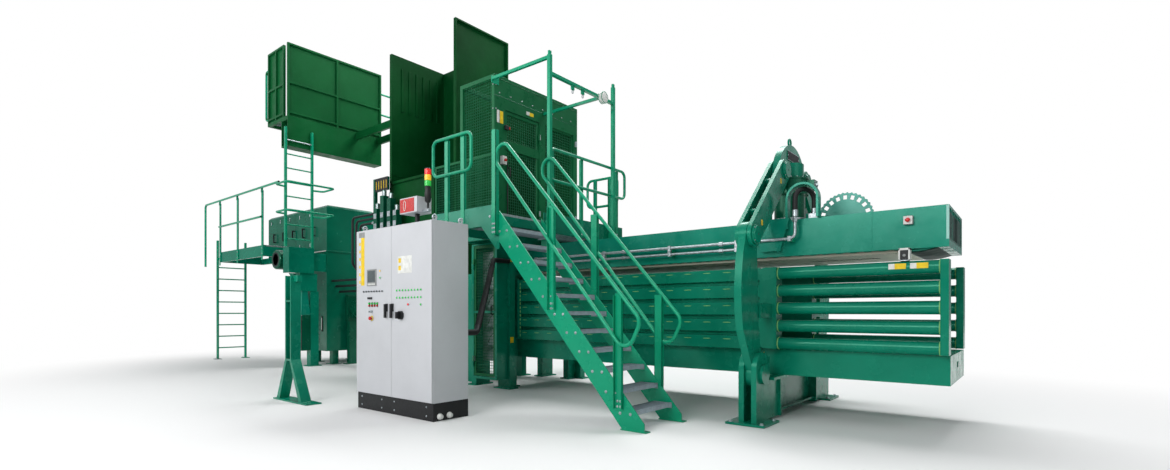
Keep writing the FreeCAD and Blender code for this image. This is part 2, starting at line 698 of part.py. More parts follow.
def link_plate(x):
    """One link plate between the arm's upper pin and the head pin, rounded at both ends."""
    a = V(0, -UPPER_PIN_Y, UPPER_PIN_Z)
    b = V(0, -HEAD_PIN_Y, HEAD_PIN_Z)
    along = (b - a).normalize()
    side = V(0, -along.z, along.y) * LINK_HALF_WIDTH
    corners = [a + side, b + side, b - side, a - side]
    body = plate_yz([(c.y, c.z) for c in corners], x)
    ends = [round_end_yz((c.y, c.z), LINK_HALF_WIDTH, x) for c in (a, b)]
    return fuse([body] + ends)


def yoke_links_near():
    """Two link plates joined by three spacers, clear of the arm and of the head."""
    plates = [link_plate((SLOT_HALF, SLOT_HALF + LINK_PLATE)),
              link_plate((-SLOT_HALF - LINK_PLATE, -SLOT_HALF))]
    a = V(0, -UPPER_PIN_Y, UPPER_PIN_Z)
    b = V(0, -HEAD_PIN_Y, HEAD_PIN_Z)
    along = (b - a).normalize()
    angle = math.degrees(math.atan2(along.z, along.y))
    spacers = []
    for share in (0.26, 0.74):
        spacer = Part.makeBox(2 * SLOT_HALF, 30, 2 * LINK_HALF_WIDTH - 60,
                              V(-SLOT_HALF, -15, -LINK_HALF_WIDTH + 30))
        spacer.rotate(V(0, 0, 0), X_AXIS, angle)
        spacer.translate(a + (b - a) * share)
        spacers.append(spacer)
    links = fuse(plates + spacers)
    arm_bore = disc_through((0, a.y, a.z), X_AXIS, UPPER_PIN_R + PIN_CLEARANCE, 150)
    head_bore = disc_through((0, b.y, b.z), X_AXIS, HEAD_PIN_R + OPEN_PIVOT_CLEARANCE, 150)
    return links.cut([arm_bore, head_bore])


def eye_angles():
    """Corners of the lifting eye's ring."""
    return [math.radians(30 + 36 * i) for i in range(10)]


def squeeze_head():
    """Round-topped head plate with its two pins, the neck it grips, a lifting eye and a blank plate."""
    low = HEAD_CENTRE_Z - 20
    top = HEAD_CENTRE_Z + HEAD_R
    plate = disc_through((0, 0, HEAD_CENTRE_Z), X_AXIS, HEAD_R, YOKE_PLATE / 2)
    plate = plate.common(block((-200, 200), (-HEAD_R, HEAD_R), (low, top + 1)))
    plate = plate.cut(rod((0, 0, low - 1), Z_AXIS, BARREL_R + 1, BARREL_JOINT - low + 1))
    neck = rod((0, 0, BARREL_JOINT), Z_AXIS, BARREL_NECK_R, 180)
    pins = [clevis_pin(side * HEAD_PIN_Y, HEAD_PIN_Z, HEAD_PIN_R, SLOT_HALF + LINK_PLATE + YOKE_GAP, 90)
            for side in (-1, 1)]
    eye = tube([(0, 45 * math.cos(a), top + 45 + 45 * math.sin(a)) for a in eye_angles()], 11, 0, True)
    sign = block((YOKE_PLATE / 2, YOKE_PLATE / 2 + 6), (-200, 200), (top - 205, top - 95))
    return fuse([plate, neck] + pins + [eye, sign])


def squeeze_barrel():
    """Vertical squeeze cylinder bolted under the neck: wide upper part, barrel and port block."""
    upper = rod((0, 0, BARREL_STEP), Z_AXIS, BARREL_R, BARREL_JOINT - BARREL_STEP)
    barrel = rod((0, 0, BARREL_BOTTOM), Z_AXIS, BARREL_LOW_R, BARREL_STEP - BARREL_BOTTOM)
    port = block((BARREL_R * 0.8, BARREL_R + 80), (-20, 120), (BARREL_JOINT - 150, BARREL_JOINT - 30))
    bore = rod((0, 0, BARREL_BOTTOM - 1), Z_AXIS, ROD_R + PIN_CLEARANCE, BARREL_JOINT - BARREL_BOTTOM - 60)
    return fuse([upper, barrel, port]).cut(bore)


def squeeze_rod():
    """Rod whose foot stands loosely in the lid's seat."""
    foot_z = LID_TOP + 23
    return rod((0, 0, foot_z), Z_AXIS, ROD_R, BARREL_JOINT - 260 - foot_z)


# ---------------------------------------------------------------- measuring wheel

def wheel_ring(radius, steps, tooth):
    """A toothed outline: each tooth is a point half a step on, a little proud."""
    points = []
    for i in range(steps):
        for share, reach in ((0.0, radius), (0.5, radius + tooth)):
            angle = 2 * math.pi * (i + share) / steps
            points.append((WHEEL_X + reach * math.cos(angle), WHEEL_Z + reach * math.sin(angle)))
    return points


def measuring_wheel():
    """Spiked disc with a ring of square windows near its rim, on a hub."""
    half = WHEEL_THICK / 2
    disc = plate_xz(wheel_ring(WHEEL_R, 2 * WHEEL_SLOTS, WHEEL_TOOTH), (-half, half))
    window = block((WHEEL_X + WHEEL_R * 0.77, WHEEL_X + WHEEL_R * 0.93), (-half - 1, half + 1),
                   (WHEEL_Z - 21, WHEEL_Z + 21))
    windows = []
    for i in range(WHEEL_SLOTS):
        copy = window.copy()
        copy.rotate(V(WHEEL_X, 0, WHEEL_Z), Y_AXIS, 360.0 * i / WHEEL_SLOTS)
        windows.append(copy)
    hub = disc_through((WHEEL_X, 0, WHEEL_Z), Y_AXIS, 45, 22)
    bore = disc_through((WHEEL_X, 0, WHEEL_Z), Y_AXIS, 15 + PIN_CLEARANCE, 30)
    return fuse([disc.cut(windows), hub]).cut(bore)


def wheel_arm():
    """Swing arm of the wheel: two side bars, pivot tube and axle."""
    bars = []
    run = V(WHEEL_X - WHEEL_PIVOT_X, 0, WHEEL_Z - WHEEL_PIVOT_Z)
    for y in (-34, 24):
        bar = Part.makeBox(run.Length + 30, 10, 50, V(WHEEL_PIVOT_X, y, WHEEL_PIVOT_Z - 25))
        bar.rotate(V(WHEEL_PIVOT_X, 0, WHEEL_PIVOT_Z), Y_AXIS, -math.degrees(math.atan2(run.z, run.x)))
        bars.append(bar)
    sleeve = block((WHEEL_PIVOT_X - 30, WHEEL_PIVOT_X + 30), (-70, 70),
                   (WHEEL_PIVOT_Z - 30, WHEEL_PIVOT_Z + 30))
    shaft = disc_through((WHEEL_PIVOT_X, 0, WHEEL_PIVOT_Z), Y_AXIS, 20, 96)
    axle = disc_through((WHEEL_X, 0, WHEEL_Z), Y_AXIS, 15, 34)
    return fuse(bars + [sleeve, shaft, axle])


# ---------------------------------------------------------------- press chamber and main cylinder

def press_chamber():
    """Box the ram runs in: floor, two walls and a roof, open to the hopper above and the channel ahead."""
    half = INNER + CHAMBER_WALL
    outer = block((CHAMBER_START_X, CHAMBER_END_X), (-half, half), (FLOOR_BOTTOM, CHAMBER_TOP))
    inside = block((CHAMBER_START_X + CHAMBER_WALL, CHAMBER_END_X + 1), (-INNER, INNER),
                   (FLOOR_TOP, CHAMBER_TOP - 50))
    mouth = block((CHAMBER_START_X + CHAMBER_WALL, HOPPER_FRONT_X), (-INNER, INNER),
                  (CHAMBER_TOP - 60, CHAMBER_TOP + 1))
    rod_hole = rod((CHAMBER_START_X - 1, 0, CHANNEL_AXIS_Z), X_AXIS, 120, CHAMBER_WALL + 2)
    parts = [outer.cut([inside, mouth, rod_hole])]
    ribs = 5
    pitch = (CHAMBER_END_X - CHAMBER_START_X - 120) / (ribs - 1)
    for i in range(ribs):
        x0 = CHAMBER_START_X + 30 + i * pitch
        for side in (-1, 1):
            parts.append(block((x0, x0 + 60), (side * half, side * (half + 60)),
                               (FLOOR_BOTTOM, CHAMBER_TOP - 20)))
    for x0 in (CHAMBER_START_X + 150, CHAMBER_END_X - 450):
        for side in (-1, 1):
            parts.append(block((x0, x0 + 160), (side * (half - 120), side * half), (20, FLOOR_BOTTOM)))
            parts.append(block((x0 - 60, x0 + 220), (side * (half - 200), side * (half + 60)), (0, 20)))
    return fuse(parts)


def main_cylinder():
    """Barrel of the main ram cylinder behind the chamber, with square end plates and saddle legs."""
    start = CHAMBER_START_X - CYLINDER_LENGTH
    half = CYLINDER_R + 40
    z = (CHANNEL_AXIS_Z - half, CHANNEL_AXIS_Z + half)
    barrel = rod((start, 0, CHANNEL_AXIS_Z), X_AXIS, CYLINDER_R, CYLINDER_LENGTH)
    cap = block((start - 120, start + 1), (-half, half), z)
    flange = block((CHAMBER_START_X - 70, CHAMBER_START_X), (-half, half), z)
    legs = []
    for x0 in (start, CHAMBER_START_X - 70):
        legs.append(block((x0 - 50, x0 + 70), (-half, half), (20, z[0])))
        legs.append(block((x0 - 110, x0 + 70), (-half - 60, half + 60), (0, 20)))
    solid = fuse([barrel, cap, flange] + legs)
    bore = rod((start, 0, CHANNEL_AXIS_Z), X_AXIS, CYLINDER_R - 50, CYLINDER_LENGTH - 69)
    gland = rod((CHAMBER_START_X - 80, 0, CHANNEL_AXIS_Z), X_AXIS, 100 + PIN_CLEARANCE, 90)
    return solid.cut([bore, gland])


def press_ram():
    """Ram platen with slots for the tying needles, its rod and the piston in the barrel."""
    face = CHAMBER_START_X + CHAMBER_WALL + 400
    side = INNER - 6
    platen = block((face - 380, face), (-side, side), (FLOOR_TOP + 6, CHAMBER_TOP - 60))
    slots = [block((face - 120, face + 1), (y - 20, y + 20), (FLOOR_TOP, CHAMBER_TOP))
             for y in needle_rows()]
    hollow = block((face - 340, face - 160), (-side + 60, side - 60), (FLOOR_TOP + 66, CHAMBER_TOP))
    piston_x = CHAMBER_START_X - CYLINDER_LENGTH + 60
    shaft = rod((piston_x, 0, CHANNEL_AXIS_Z), X_AXIS, 100, face - 370 - piston_x)
    piston = rod((piston_x, 0, CHANNEL_AXIS_Z), X_AXIS, CYLINDER_R - 50 - PIN_CLEARANCE, PISTON_LENGTH)
    return fuse([platen.cut(slots + [hollow]), shaft, piston])


def needle_rows():
    """The five wire lines across the channel."""
    return [-400.0, -200.0, 0.0, 200.0, 400.0]


# ---------------------------------------------------------------- hinges of the two guard doors

def knuckles(axis, heights, leaf_x, leaf_y):
    """Hinge knuckles on one vertical axis, each with the leaf that ties it to its door or frame."""
    parts = []
    for z in heights:
        tall = (z, z + KNUCKLE_HEIGHT)
        parts.append(rod((axis[0], axis[1], z), Z_AXIS, KNUCKLE_R, KNUCKLE_HEIGHT))
        parts.append(block(leaf_x, leaf_y, tall))
    return parts


def lower_knuckles(heights):
    """Heights of the fixed knuckles that the door's knuckles stand on."""
    return [z - KNUCKLE_GAP - KNUCKLE_HEIGHT for z in heights]


# ---------------------------------------------------------------- tying station

def tying_frame():
    """Portal between chamber and channel: columns with feet, beams, hinge lugs and the needle rails."""
    parts = needle_rails() + tying_door_frame()
    plate = 120.0
    for x0 in (FRAME_START_X, FRAME_END_X - plate):
        x = (x0, x0 + plate)
        for side in (-1, 1):
            inner, outer = side * COLUMN_INNER_Y, side * COLUMN_OUTER_Y
            parts.append(block(x, (inner, outer), (20, FRAME_TOP)))
            parts.append(block((x0 - 40, x0 + plate + 40), (inner - side * 40, outer + side * 60), (0, 20)))
        parts.append(block(x, (-COLUMN_INNER_Y, COLUMN_INNER_Y), (CHAMBER_TOP, FRAME_TOP)))
        parts.append(block(x, (-COLUMN_INNER_Y, COLUMN_INNER_Y), (FLOOR_BOTTOM, FLOOR_TOP)))
    lug_lows = wall_lug_heights(LUG_HEIGHT + 1)
    for side in (-1, 1):
        outer = side * COLUMN_OUTER_Y
        parts.append(block((FRAME_END_X, COLUMN_END_X), (outer - side * 120, outer), (20, FRAME_TOP)))
        parts.append(block((FRAME_END_X, COLUMN_END_X + 60), (outer - side * 130, outer + side * 60),
                           (0, 20)))
        parts.append(block((FRAME_START_X, FRAME_END_X), (outer - side * 70, outer),
                           (FRAME_TOP - 160, FRAME_TOP)))
        parts.append(block((FRAME_START_X, FRAME_END_X), (side * INNER, side * COLUMN_INNER_Y),
                           (FLOOR_BOTTOM, FLOOR_TOP)))
        for low in lug_lows:
            parts.append(block((FRAME_END_X, WALL_HINGE_X + LUG_HALF),
                               (side * (WALL_HINGE_Y - LUG_HALF), side * (WALL_HINGE_Y + LUG_HALF)),
                               (low, low + LUG_HEIGHT)))
        high = wall_lug_heights(0)[-1] + LUG_HEIGHT
        parts.append(rod((WALL_HINGE_X, side * WALL_HINGE_Y, lug_lows[0]), Z_AXIS, WALL_HINGE_R,
                         high - lug_lows[0] + 30))
        ear = (side * BRACKET_Y[0], side * BRACKET_Y[1])
        parts.append(block((FRAME_END_X, LID_PIVOT_X + 70), ear, (LID_PIVOT_Z - 80, LID_PIVOT_Z + 80)))
    parts.append(rod((LID_PIVOT_X, -BRACKET_Y[1], LID_PIVOT_Z), Y_AXIS, LID_PIN_DIAMETER / 2,
                     2 * BRACKET_Y[1]))
    return fuse(parts)


def needle_carriage():
    """Carriage on the far side with five needles that pass through the station."""
    back_y = COLUMN_OUTER_Y + NEEDLE_STROKE + 60
    bar = block((-4600, -4440), (back_y, back_y + 80),
                (NEEDLE_RAIL_Z[0] + NEEDLE_RAIL_DEEP + 0.3, NEEDLE_RAIL_Z[1] - 0.3))
    heights = [880.0 + 190.0 * i for i in range(5)]
    needles = [block((-4560, -4480), (COLUMN_INNER_Y + 40, back_y), (z - 12, z + 12)) for z in heights]
    return fuse([bar] + needles)


def needle_rails():
    """Rails on the far side that carry the needle carriage, and the frame members they start from."""
    y0 = COLUMN_OUTER_Y
    y1 = y0 + NEEDLE_STROKE + 200
    parts = []
    for z in NEEDLE_RAIL_Z:
        parts.append(block((-4620, -4420), (y0, y1), (z, z + NEEDLE_RAIL_DEEP)))
        parts.append(block((FRAME_START_X, FRAME_END_X), (y0 - 70, y0), (z, z + NEEDLE_RAIL_DEEP)))
    parts.append(block((-4620, -4420), (y1 - 40, y1),
                       (NEEDLE_RAIL_Z[0], NEEDLE_RAIL_Z[1] + NEEDLE_RAIL_DEEP)))
    return parts


def wire_tensioners():
    """Rack of wire brakes on the near side behind the guard door."""
    back = block((TYING_DOOR_X[0] + 10, TYING_DOOR_X[1] - 50),
                 (-COLUMN_OUTER_Y - 40, -COLUMN_OUTER_Y), (420, 2150))
    parts = [back]
    for i in range(5):
        z = 640 + 300 * i
        parts.append(tube([(-4420, -COLUMN_OUTER_Y - 40, z), (-4420, -COLUMN_OUTER_Y - 100, z)], 60))
    return fuse(parts)


def tying_door_frame():
    """Posts, sill and lintel that hold the guard door in front of the tensioners."""
    y = (-1150, -COLUMN_OUTER_Y)
    x0, x1 = TYING_DOOR_X[0] - 50, TYING_DOOR_X[1] + 50
    low, high = TYING_DOOR_Z[0] - 6, TYING_DOOR_Z[1] + 6
    posts = [block((x0, x0 + 45), y, (low, high)), block((x1 - 45, x1), y, (low, high))]
    ties = [block((x0, x1), y, (high, FRAME_TOP)), block((x0, x1), y, (low - 40, low))]
    hinge_x, hinge_y = TYING_HINGE
    fixed = knuckles(TYING_HINGE, lower_knuckles(TYING_HINGE_Z), (hinge_x - KNUCKLE_LEAF, hinge_x),
                     (hinge_y - KNUCKLE_R, y[0]))
    return posts + ties + fixed


def tying_door():
    """Mesh guard door of the tying station with its hinge knuckles and pull."""
    x0, x1 = TYING_DOOR_X
    panel = grille_xz((x0, x1), TYING_DOOR_Z, (-1145, -1115), 45, 22, 2, 7)
    hinge_x, hinge_y = TYING_HINGE
    leaves = knuckles(TYING_HINGE, TYING_HINGE_Z, (hinge_x, hinge_x + KNUCKLE_LEAF),
                      (hinge_y - KNUCKLE_R, -1145))
    grip = block((x1 - 60, x1 - 30), (-1180, -1145), (1150, 1300))
    return fuse([panel, grip] + leaves)


# ---------------------------------------------------------------- hopper

def hopper_rear_panel():
    """Tall sheet across the machine at the back of the hopper, with edge flanges and a seam rib."""
    z = (CHAMBER_TOP, HOPPER_REAR_TOP)
    x0, x1 = CHAMBER_START_X, CHAMBER_START_X + HOPPER_SKIN
    skin = block((x0, x1), (-HOPPER_HALF, HOPPER_HALF), z)
    parts = [skin]
    for side in (-1, 1):
        parts.append(block((x0 - HOPPER_PLATE, x0), (side * (HOPPER_HALF - 50), side * HOPPER_HALF), z))
    for level in (CHAMBER_TOP, 3790, 5100, HOPPER_REAR_TOP - 60):
        parts.append(block((x0 - HOPPER_PLATE, x0), (-HOPPER_HALF, HOPPER_HALF), (level, level + 60)))
    return fuse(parts)


def hopper_front_panel():
    """Tallest sheet, between the hopper and the tying cage, flanged on all edges."""
    z = (CHAMBER_TOP, HOPPER_FRONT_TOP)
    x0, x1 = HOPPER_FRONT_X, HOPPER_FRONT_X + HOPPER_PLATE
    parts = [block((x0, x0 + HOPPER_SKIN), (-HOPPER_HALF, HOPPER_HALF), z)]
    for side in (-1, 1):
        parts.append(block((x0, x1), (side * (HOPPER_HALF - 30), side * HOPPER_HALF), z))
    for level in (CHAMBER_TOP, HOPPER_FRONT_TOP - 30):
        parts.append(block((x0, x1), (-HOPPER_HALF, HOPPER_HALF), (level, level + 30)))
    return fuse(parts)


def hopper_side_walls():
    """Far wall at full height and near wall up to the sill, lower under the guard row."""
    x0 = CHAMBER_START_X + HOPPER_SKIN
    near_y = (-HOPPER_HALF, -HOPPER_HALF + HOPPER_SKIN)
    far = [block((x0, HOPPER_FRONT_X), (HOPPER_HALF - HOPPER_SKIN, HOPPER_HALF),
                 (CHAMBER_TOP, HOPPER_REAR_TOP))]
    for x in (-7600, -6900, -6200):
        far.append(block((x, x + 60), (HOPPER_HALF, HOPPER_HALF + 60), (CHAMBER_TOP, HOPPER_REAR_TOP)))
    near = [block((x0, HOPPER_NEAR_END_X), near_y, (CHAMBER_TOP, HOPPER_NEAR_TOP)),
            block((x0, HOPPER_NEAR_END_X), (-HOPPER_HALF - 40, -HOPPER_HALF),
                  (HOPPER_NEAR_TOP - 50, HOPPER_NEAR_TOP)),
            block((HOPPER_NEAR_END_X, HOPPER_FRONT_X), near_y, (CHAMBER_TOP, PLATFORM_TOP + 120))]
    return group([fuse(far), fuse(near)])


# ---------------------------------------------------------------- guard cage

def guard_cage():
    """Sheet and post frame over the tying unit, with the door opening towards the platform."""
    p = CAGE_POST
    z = (PLATFORM_TOP, CAGE_TOP)
    x0, x1 = CAGE_REAR_X, CAGE_FRONT_X
    front = (x1 - p, x1)
    parts = [block(front, (CAGE_NEAR_Y, DOOR_Y[0]), z),
             block(front, (DOOR_Y[1], WINDOW_Y[0]), z),
             block(front, (WINDOW_Y[1], CAGE_FAR_Y), z),
             block(front, (CAGE_NEAR_Y, CAGE_FAR_Y), (HEADER_Z, CAGE_TOP)),
             block(front, (WINDOW_Y[0], WINDOW_Y[1]), (PLATFORM_TOP, SILL_Z))]
    for y0 in (CAGE_NEAR_Y, CAGE_FAR_Y - p):
        parts.append(block((x0, x0 + p), (y0, y0 + p), z))
        parts.append(block((x0, x1), (y0, y0 + p), (CAGE_TOP - p, CAGE_TOP)))
    parts.append(block((x0, x1), (CAGE_NEAR_Y, CAGE_NEAR_Y + p), (PLATFORM_TOP, PLATFORM_TOP + p)))
    parts.append(block((x0, x0 + p), (CAGE_NEAR_Y, CAGE_FAR_Y), (CAGE_TOP - p, CAGE_TOP)))
    parts.append(block((x0, x1), (CAGE_FAR_Y - 12, CAGE_FAR_Y), z))
    parts.append(stop_box(CAGE_STOP, "+X", 80, 120))
    hinge_x, hinge_y = CAGE_HINGE
    parts += knuckles(CAGE_HINGE, lower_knuckles(CAGE_HINGE_Z), (x1, hinge_x + KNUCKLE_R),
                      (hinge_y, hinge_y + KNUCKLE_LEAF))
    return fuse(parts)


def cage_mesh():
    """Fixed mesh panels: cage side, cage window and the guard row beside the hopper."""
    p = CAGE_POST
    side = grille_xz((CAGE_REAR_X + p, CAGE_FRONT_X - p), (PLATFORM_TOP + p, CAGE_TOP - p),
                     (CAGE_NEAR_Y + 20, CAGE_NEAR_Y + 40), 12, 20, 3, 7)
    window = grille_yz(WINDOW_Y, (SILL_Z, HEADER_Z), (CAGE_FRONT_X - 40, CAGE_FRONT_X - 20), 40, 20, 3, 6)
    row = [grille_xz((x0, x0 + 860), (PLATFORM_TOP + 20, 3850), (-HOPPER_HALF - 30, -HOPPER_HALF),
                     40, 20, 3, 5)
           for x0 in (-6235, -5375)]
    return group([side, window, fuse(row)])


def cage_door():
    """Hinged mesh door of the cage, with a cross rail between its two windows."""
    y0, y1 = DOOR_Y[0] + 4, DOOR_Y[1] - 4
    x = (CAGE_FRONT_X - 45, CAGE_FRONT_X - 5)
    upper = grille_yz((y0, y1), (3600, HEADER_Z - 6), x, 60, 20, 3, 2)
    lower = grille_yz((y0, y1), (PLATFORM_TOP + 20, 3660), x, 60, 20, 3, 5)
    grip = block((CAGE_FRONT_X - 5, CAGE_FRONT_X + 50), (y0 + 40, y0 + 70), (3180, 3340))
    hinge_x, hinge_y = CAGE_HINGE
    leaves = knuckles(CAGE_HINGE, CAGE_HINGE_Z, (CAGE_FRONT_X - 5, hinge_x + KNUCKLE_R),
                      (hinge_y - KNUCKLE_LEAF, hinge_y))
    return fuse([upper, lower, grip] + leaves)


# ---------------------------------------------------------------- platform

def platform_frame():
    """Edge beams, toe boards, leg and the landing gussets of the platform."""
    x0, x1 = CAGE_REAR_X, PLATFORM_EDGE_X
    y0, y1 = PLATFORM_NEAR_Y, PLATFORM_FAR_Y
    z = (PLATFORM_TOP - PLATFORM_BEAM, PLATFORM_TOP - 30)
    t = 60.0
    walk = WALKWAY_START_X
    parts = [block((walk, x1), (y0, y0 + t), z), block((x0, x1), (y1 - t, y1), z),
             block((x1 - t, x1), (y0, y1), z), block((x0, x0 + t), (CAGE_NEAR_Y, y1), z),
             block((walk, walk + t), (y0, y1), z), block((x0, walk), (CAGE_NEAR_Y, CAGE_NEAR_Y + t), z)]
    parts.append(block((walk, x1 - 90), (y0, y0 + 10), (z[0], PLATFORM_TOP + TOE_BOARD)))
    parts.append(block((x1 - 10, x1), (STAIR_FAR_Y + 40, y1), (z[0], PLATFORM_TOP + TOE_BOARD)))
    gusset = [(x1 - 330, z[0]), (x1, z[0]), (x1, z[0] - 300), (x1 - 60, z[0] - 300)]
    parts.append(plate_xz(gusset, (y0, y0 + 10)))
    parts.append(block((walk, walk + 80), (y0 + t, y0 + t + 80), (20, z[0] + 10)))
    parts.append(block((walk - 60, walk + 140), (y0 + t - 60, y0 + t + 140), (0, 20)))
    return fuse(parts)


def floor_gratings():
    """Bar gratings of the platform, the service deck and the gallery."""
    z = (PLATFORM_TOP - 30, PLATFORM_TOP)
    cage = grille_xy((CAGE_REAR_X, WALKWAY_START_X + 10), (CAGE_NEAR_Y, PLATFORM_FAR_Y), z, 60, 40, 1, 4)
    walkway = grille_xy((WALKWAY_START_X + 10, PLATFORM_EDGE_X - 10),
                        (PLATFORM_NEAR_Y + 10, PLATFORM_FAR_Y), z, 50, 40, 2, 7)
    deck = grille_xy((DECK_START_X + 40, DECK_END_X), (DECK_NEAR_Y + 40, TANK_NEAR_Y),
                     (DECK_TOP - 30, DECK_TOP), 50, 40, 6, 2)
    gallery = grille_xy((GALLERY_START_X + 50, GALLERY_END_X - 50), (GALLERY_NEAR_Y + 50, GALLERY_FAR_Y),
                        (GALLERY_FLOOR, GALLERY_FLOOR + 30), 50, 40, 2, 5)
    return group([fuse([cage, walkway]), deck, gallery])


def platform_handrails():
    """Rails and posts of the platform: near walkway loop, corner post and the rails of the far edges."""
    low = PLATFORM_TOP - PLATFORM_BEAM
    y = PLATFORM_NEAR_Y - 6 - RAIL_R
    corners = [(-3960, y, 3000), (-3960, y, 3480), (-3180, y, 3480), (-3180, y, 3000)]
    loop = tube(corners, RAIL_R, RAIL_CORNER, True)
    posts = [block((x, x + 70), (y + RAIL_R, PLATFORM_NEAR_Y), (low, 3480)) for x in (-3745, -3415)]
    corner = block((PLATFORM_EDGE_X - 75, PLATFORM_EDGE_X - 5), (PLATFORM_NEAR_Y - 60, PLATFORM_NEAR_Y),
                   (low - 130, 3400))
    x = PLATFORM_EDGE_X + RAIL_R
    y0, y1 = STAIR_FAR_Y + 130, PLATFORM_FAR_Y + 30
    rail = tube([(x, y0, 2960), (x, y0, 3380), (x, y1, 3380), (x, y1, 2960)], RAIL_R, RAIL_CORNER, True)
    far_posts = [block((PLATFORM_EDGE_X, PLATFORM_EDGE_X + 12), (yy, yy + 60), (low, 3380))
                 for yy in (STAIR_FAR_Y + 180, -800, 60)]
    y_end = PLATFORM_FAR_Y + RAIL_R
    end_loop = tube([(-3400, y_end, 2900), (-3400, y_end, 3340), (-2800, y_end, 3340), (-2800, y_end, 2900)],
                    RAIL_R, RAIL_CORNER, True)
    end_posts = [block((xx, xx + 60), (PLATFORM_FAR_Y, PLATFORM_FAR_Y + 12), (low, 3340))
                 for xx in (-3250, -2960)]
    return [fuse([loop] + posts), corner, fuse([rail] + far_posts), fuse([end_loop] + end_posts)]


def lamp_gallows():
    """Two tall posts, the bar between them, the tubes back to the cage, hanging lugs and the round lamp."""
    s = 50.0
    x = (PLATFORM_EDGE_X + 2 * RAIL_R, PLATFORM_EDGE_X + 2 * RAIL_R + s)
    low = PLATFORM_TOP - PLATFORM_BEAM
    y_posts = (-1545.0, -125.0)
    parts = []
    for y0 in y_posts:
        parts.append(block(x, (y0, y0 + s), (low, GALLOWS_TOP)))
        parts.append(block((x[0] + 10, x[1] - 10), (y0 + 5, y0 + 45), (GALLOWS_TOP, GALLOWS_TOP + 50)))
        parts.append(block((PLATFORM_EDGE_X, x[0]), (y0, y0 + s), (low, PLATFORM_TOP)))
    parts.append(block(x, (y_posts[0] + s, y_posts[1]), (4325, 4365)))
    parts += [block((x[0] + 15, x[1] - 15), (y0, y0 + 60), (4265, 4325)) for y0 in (-1080, -860)]
    parts.append(block((CAGE_FRONT_X, x[0]), (-1540, -1500), (4540, 4580)))
    parts.append(block((CAGE_FRONT_X, CAGE_FRONT_X + 12), (-1540, -1400), (4500, 4600)))
    parts.append(block((CAGE_FRONT_X, x[0]), (-440, -400), (4325, 4365)))
    lamp = rod((x[1], -420, 4330), X_AXIS, 85, 60)
    return group([fuse(parts), lamp])


# ---------------------------------------------------------------- stairs

def nosing_x(step):
    """X of the front edge of a tread; step 0 is the floor and STAIR_STEPS the platform."""
    return PLATFORM_EDGE_X + STAIR_GOING * (STAIR_STEPS - step)


def stringer(y):
    """Sloping side plate with a level foot and a plumb top."""
    deep = STRINGER_DEPTH / math.cos(STAIR_ANGLE)
    top_x, foot_x, foot_z = PLATFORM_EDGE_X, nosing_x(0) - 60, 12.0

    def upper(x):
        return PLATFORM_TOP + 20 - (x - top_x) * STAIR_SLOPE

    heel_x = top_x + (upper(top_x) - deep - foot_z) / STAIR_SLOPE
    plate = plate_xz([(top_x, upper(top_x)), (foot_x, upper(foot_x)), (foot_x, foot_z), (heel_x, foot_z),
                      (top_x, upper(top_x) - deep)], y)
    pad = block((heel_x - 20, foot_x + 20), (min(y), max(y) + 70), (0, foot_z))
    return fuse([plate, pad])


def stair_stringers():
    """The two sloping side plates of the stairs."""
    near = stringer((PLATFORM_NEAR_Y, PLATFORM_NEAR_Y + STRINGER_PLATE))
    far = stringer((STAIR_FAR_Y, STAIR_FAR_Y - STRINGER_PLATE))
    return group([near, far])


def stair_treads():
    """Eleven grating treads between the stringers."""
    treads = []
    y = (PLATFORM_NEAR_Y + STRINGER_PLATE, STAIR_FAR_Y - STRINGER_PLATE)
    for step in range(1, STAIR_STEPS):
        front = nosing_x(step)
        z = STAIR_RISE * step
        treads.append(grille_xy((front - TREAD_DEPTH, front), y, (z - TREAD_THICK, z), 30, 24, 1, 3))
    return group(treads)


def stair_rail(y, out):
    """Hairpin handrail of one side with its two posts; out is the side the posts stand on."""
    centre = y + out * (12 + RAIL_R)
    high, low = (PLATFORM_EDGE_X - 20, 3395.0), (-630.0, 1110.0)
    slope = (high[1] - low[1]) / (low[0] - high[0])
    rail = tube([(high[0], centre, 3000), (high[0], centre, high[1]), (low[0], centre, low[1]),
                 (low[0] - 170, centre, low[1] - 350)], RAIL_R, RAIL_CORNER, True)
    posts = []
    for x in (-1860.0, -950.0):
        top = high[1] - (x + 70 - high[0]) * slope
        posts.append(block((x, x + 70), (y, y + out * 12), (top - 1190, top)))
    return fuse([rail] + posts)


def handrails():
    """Every rail of the platform and of the stairs."""
    rails = platform_handrails() + [stair_rail(PLATFORM_NEAR_Y, -1), stair_rail(STAIR_FAR_Y, 1)]
    return group(rails)


# ---------------------------------------------------------------- control cabinet

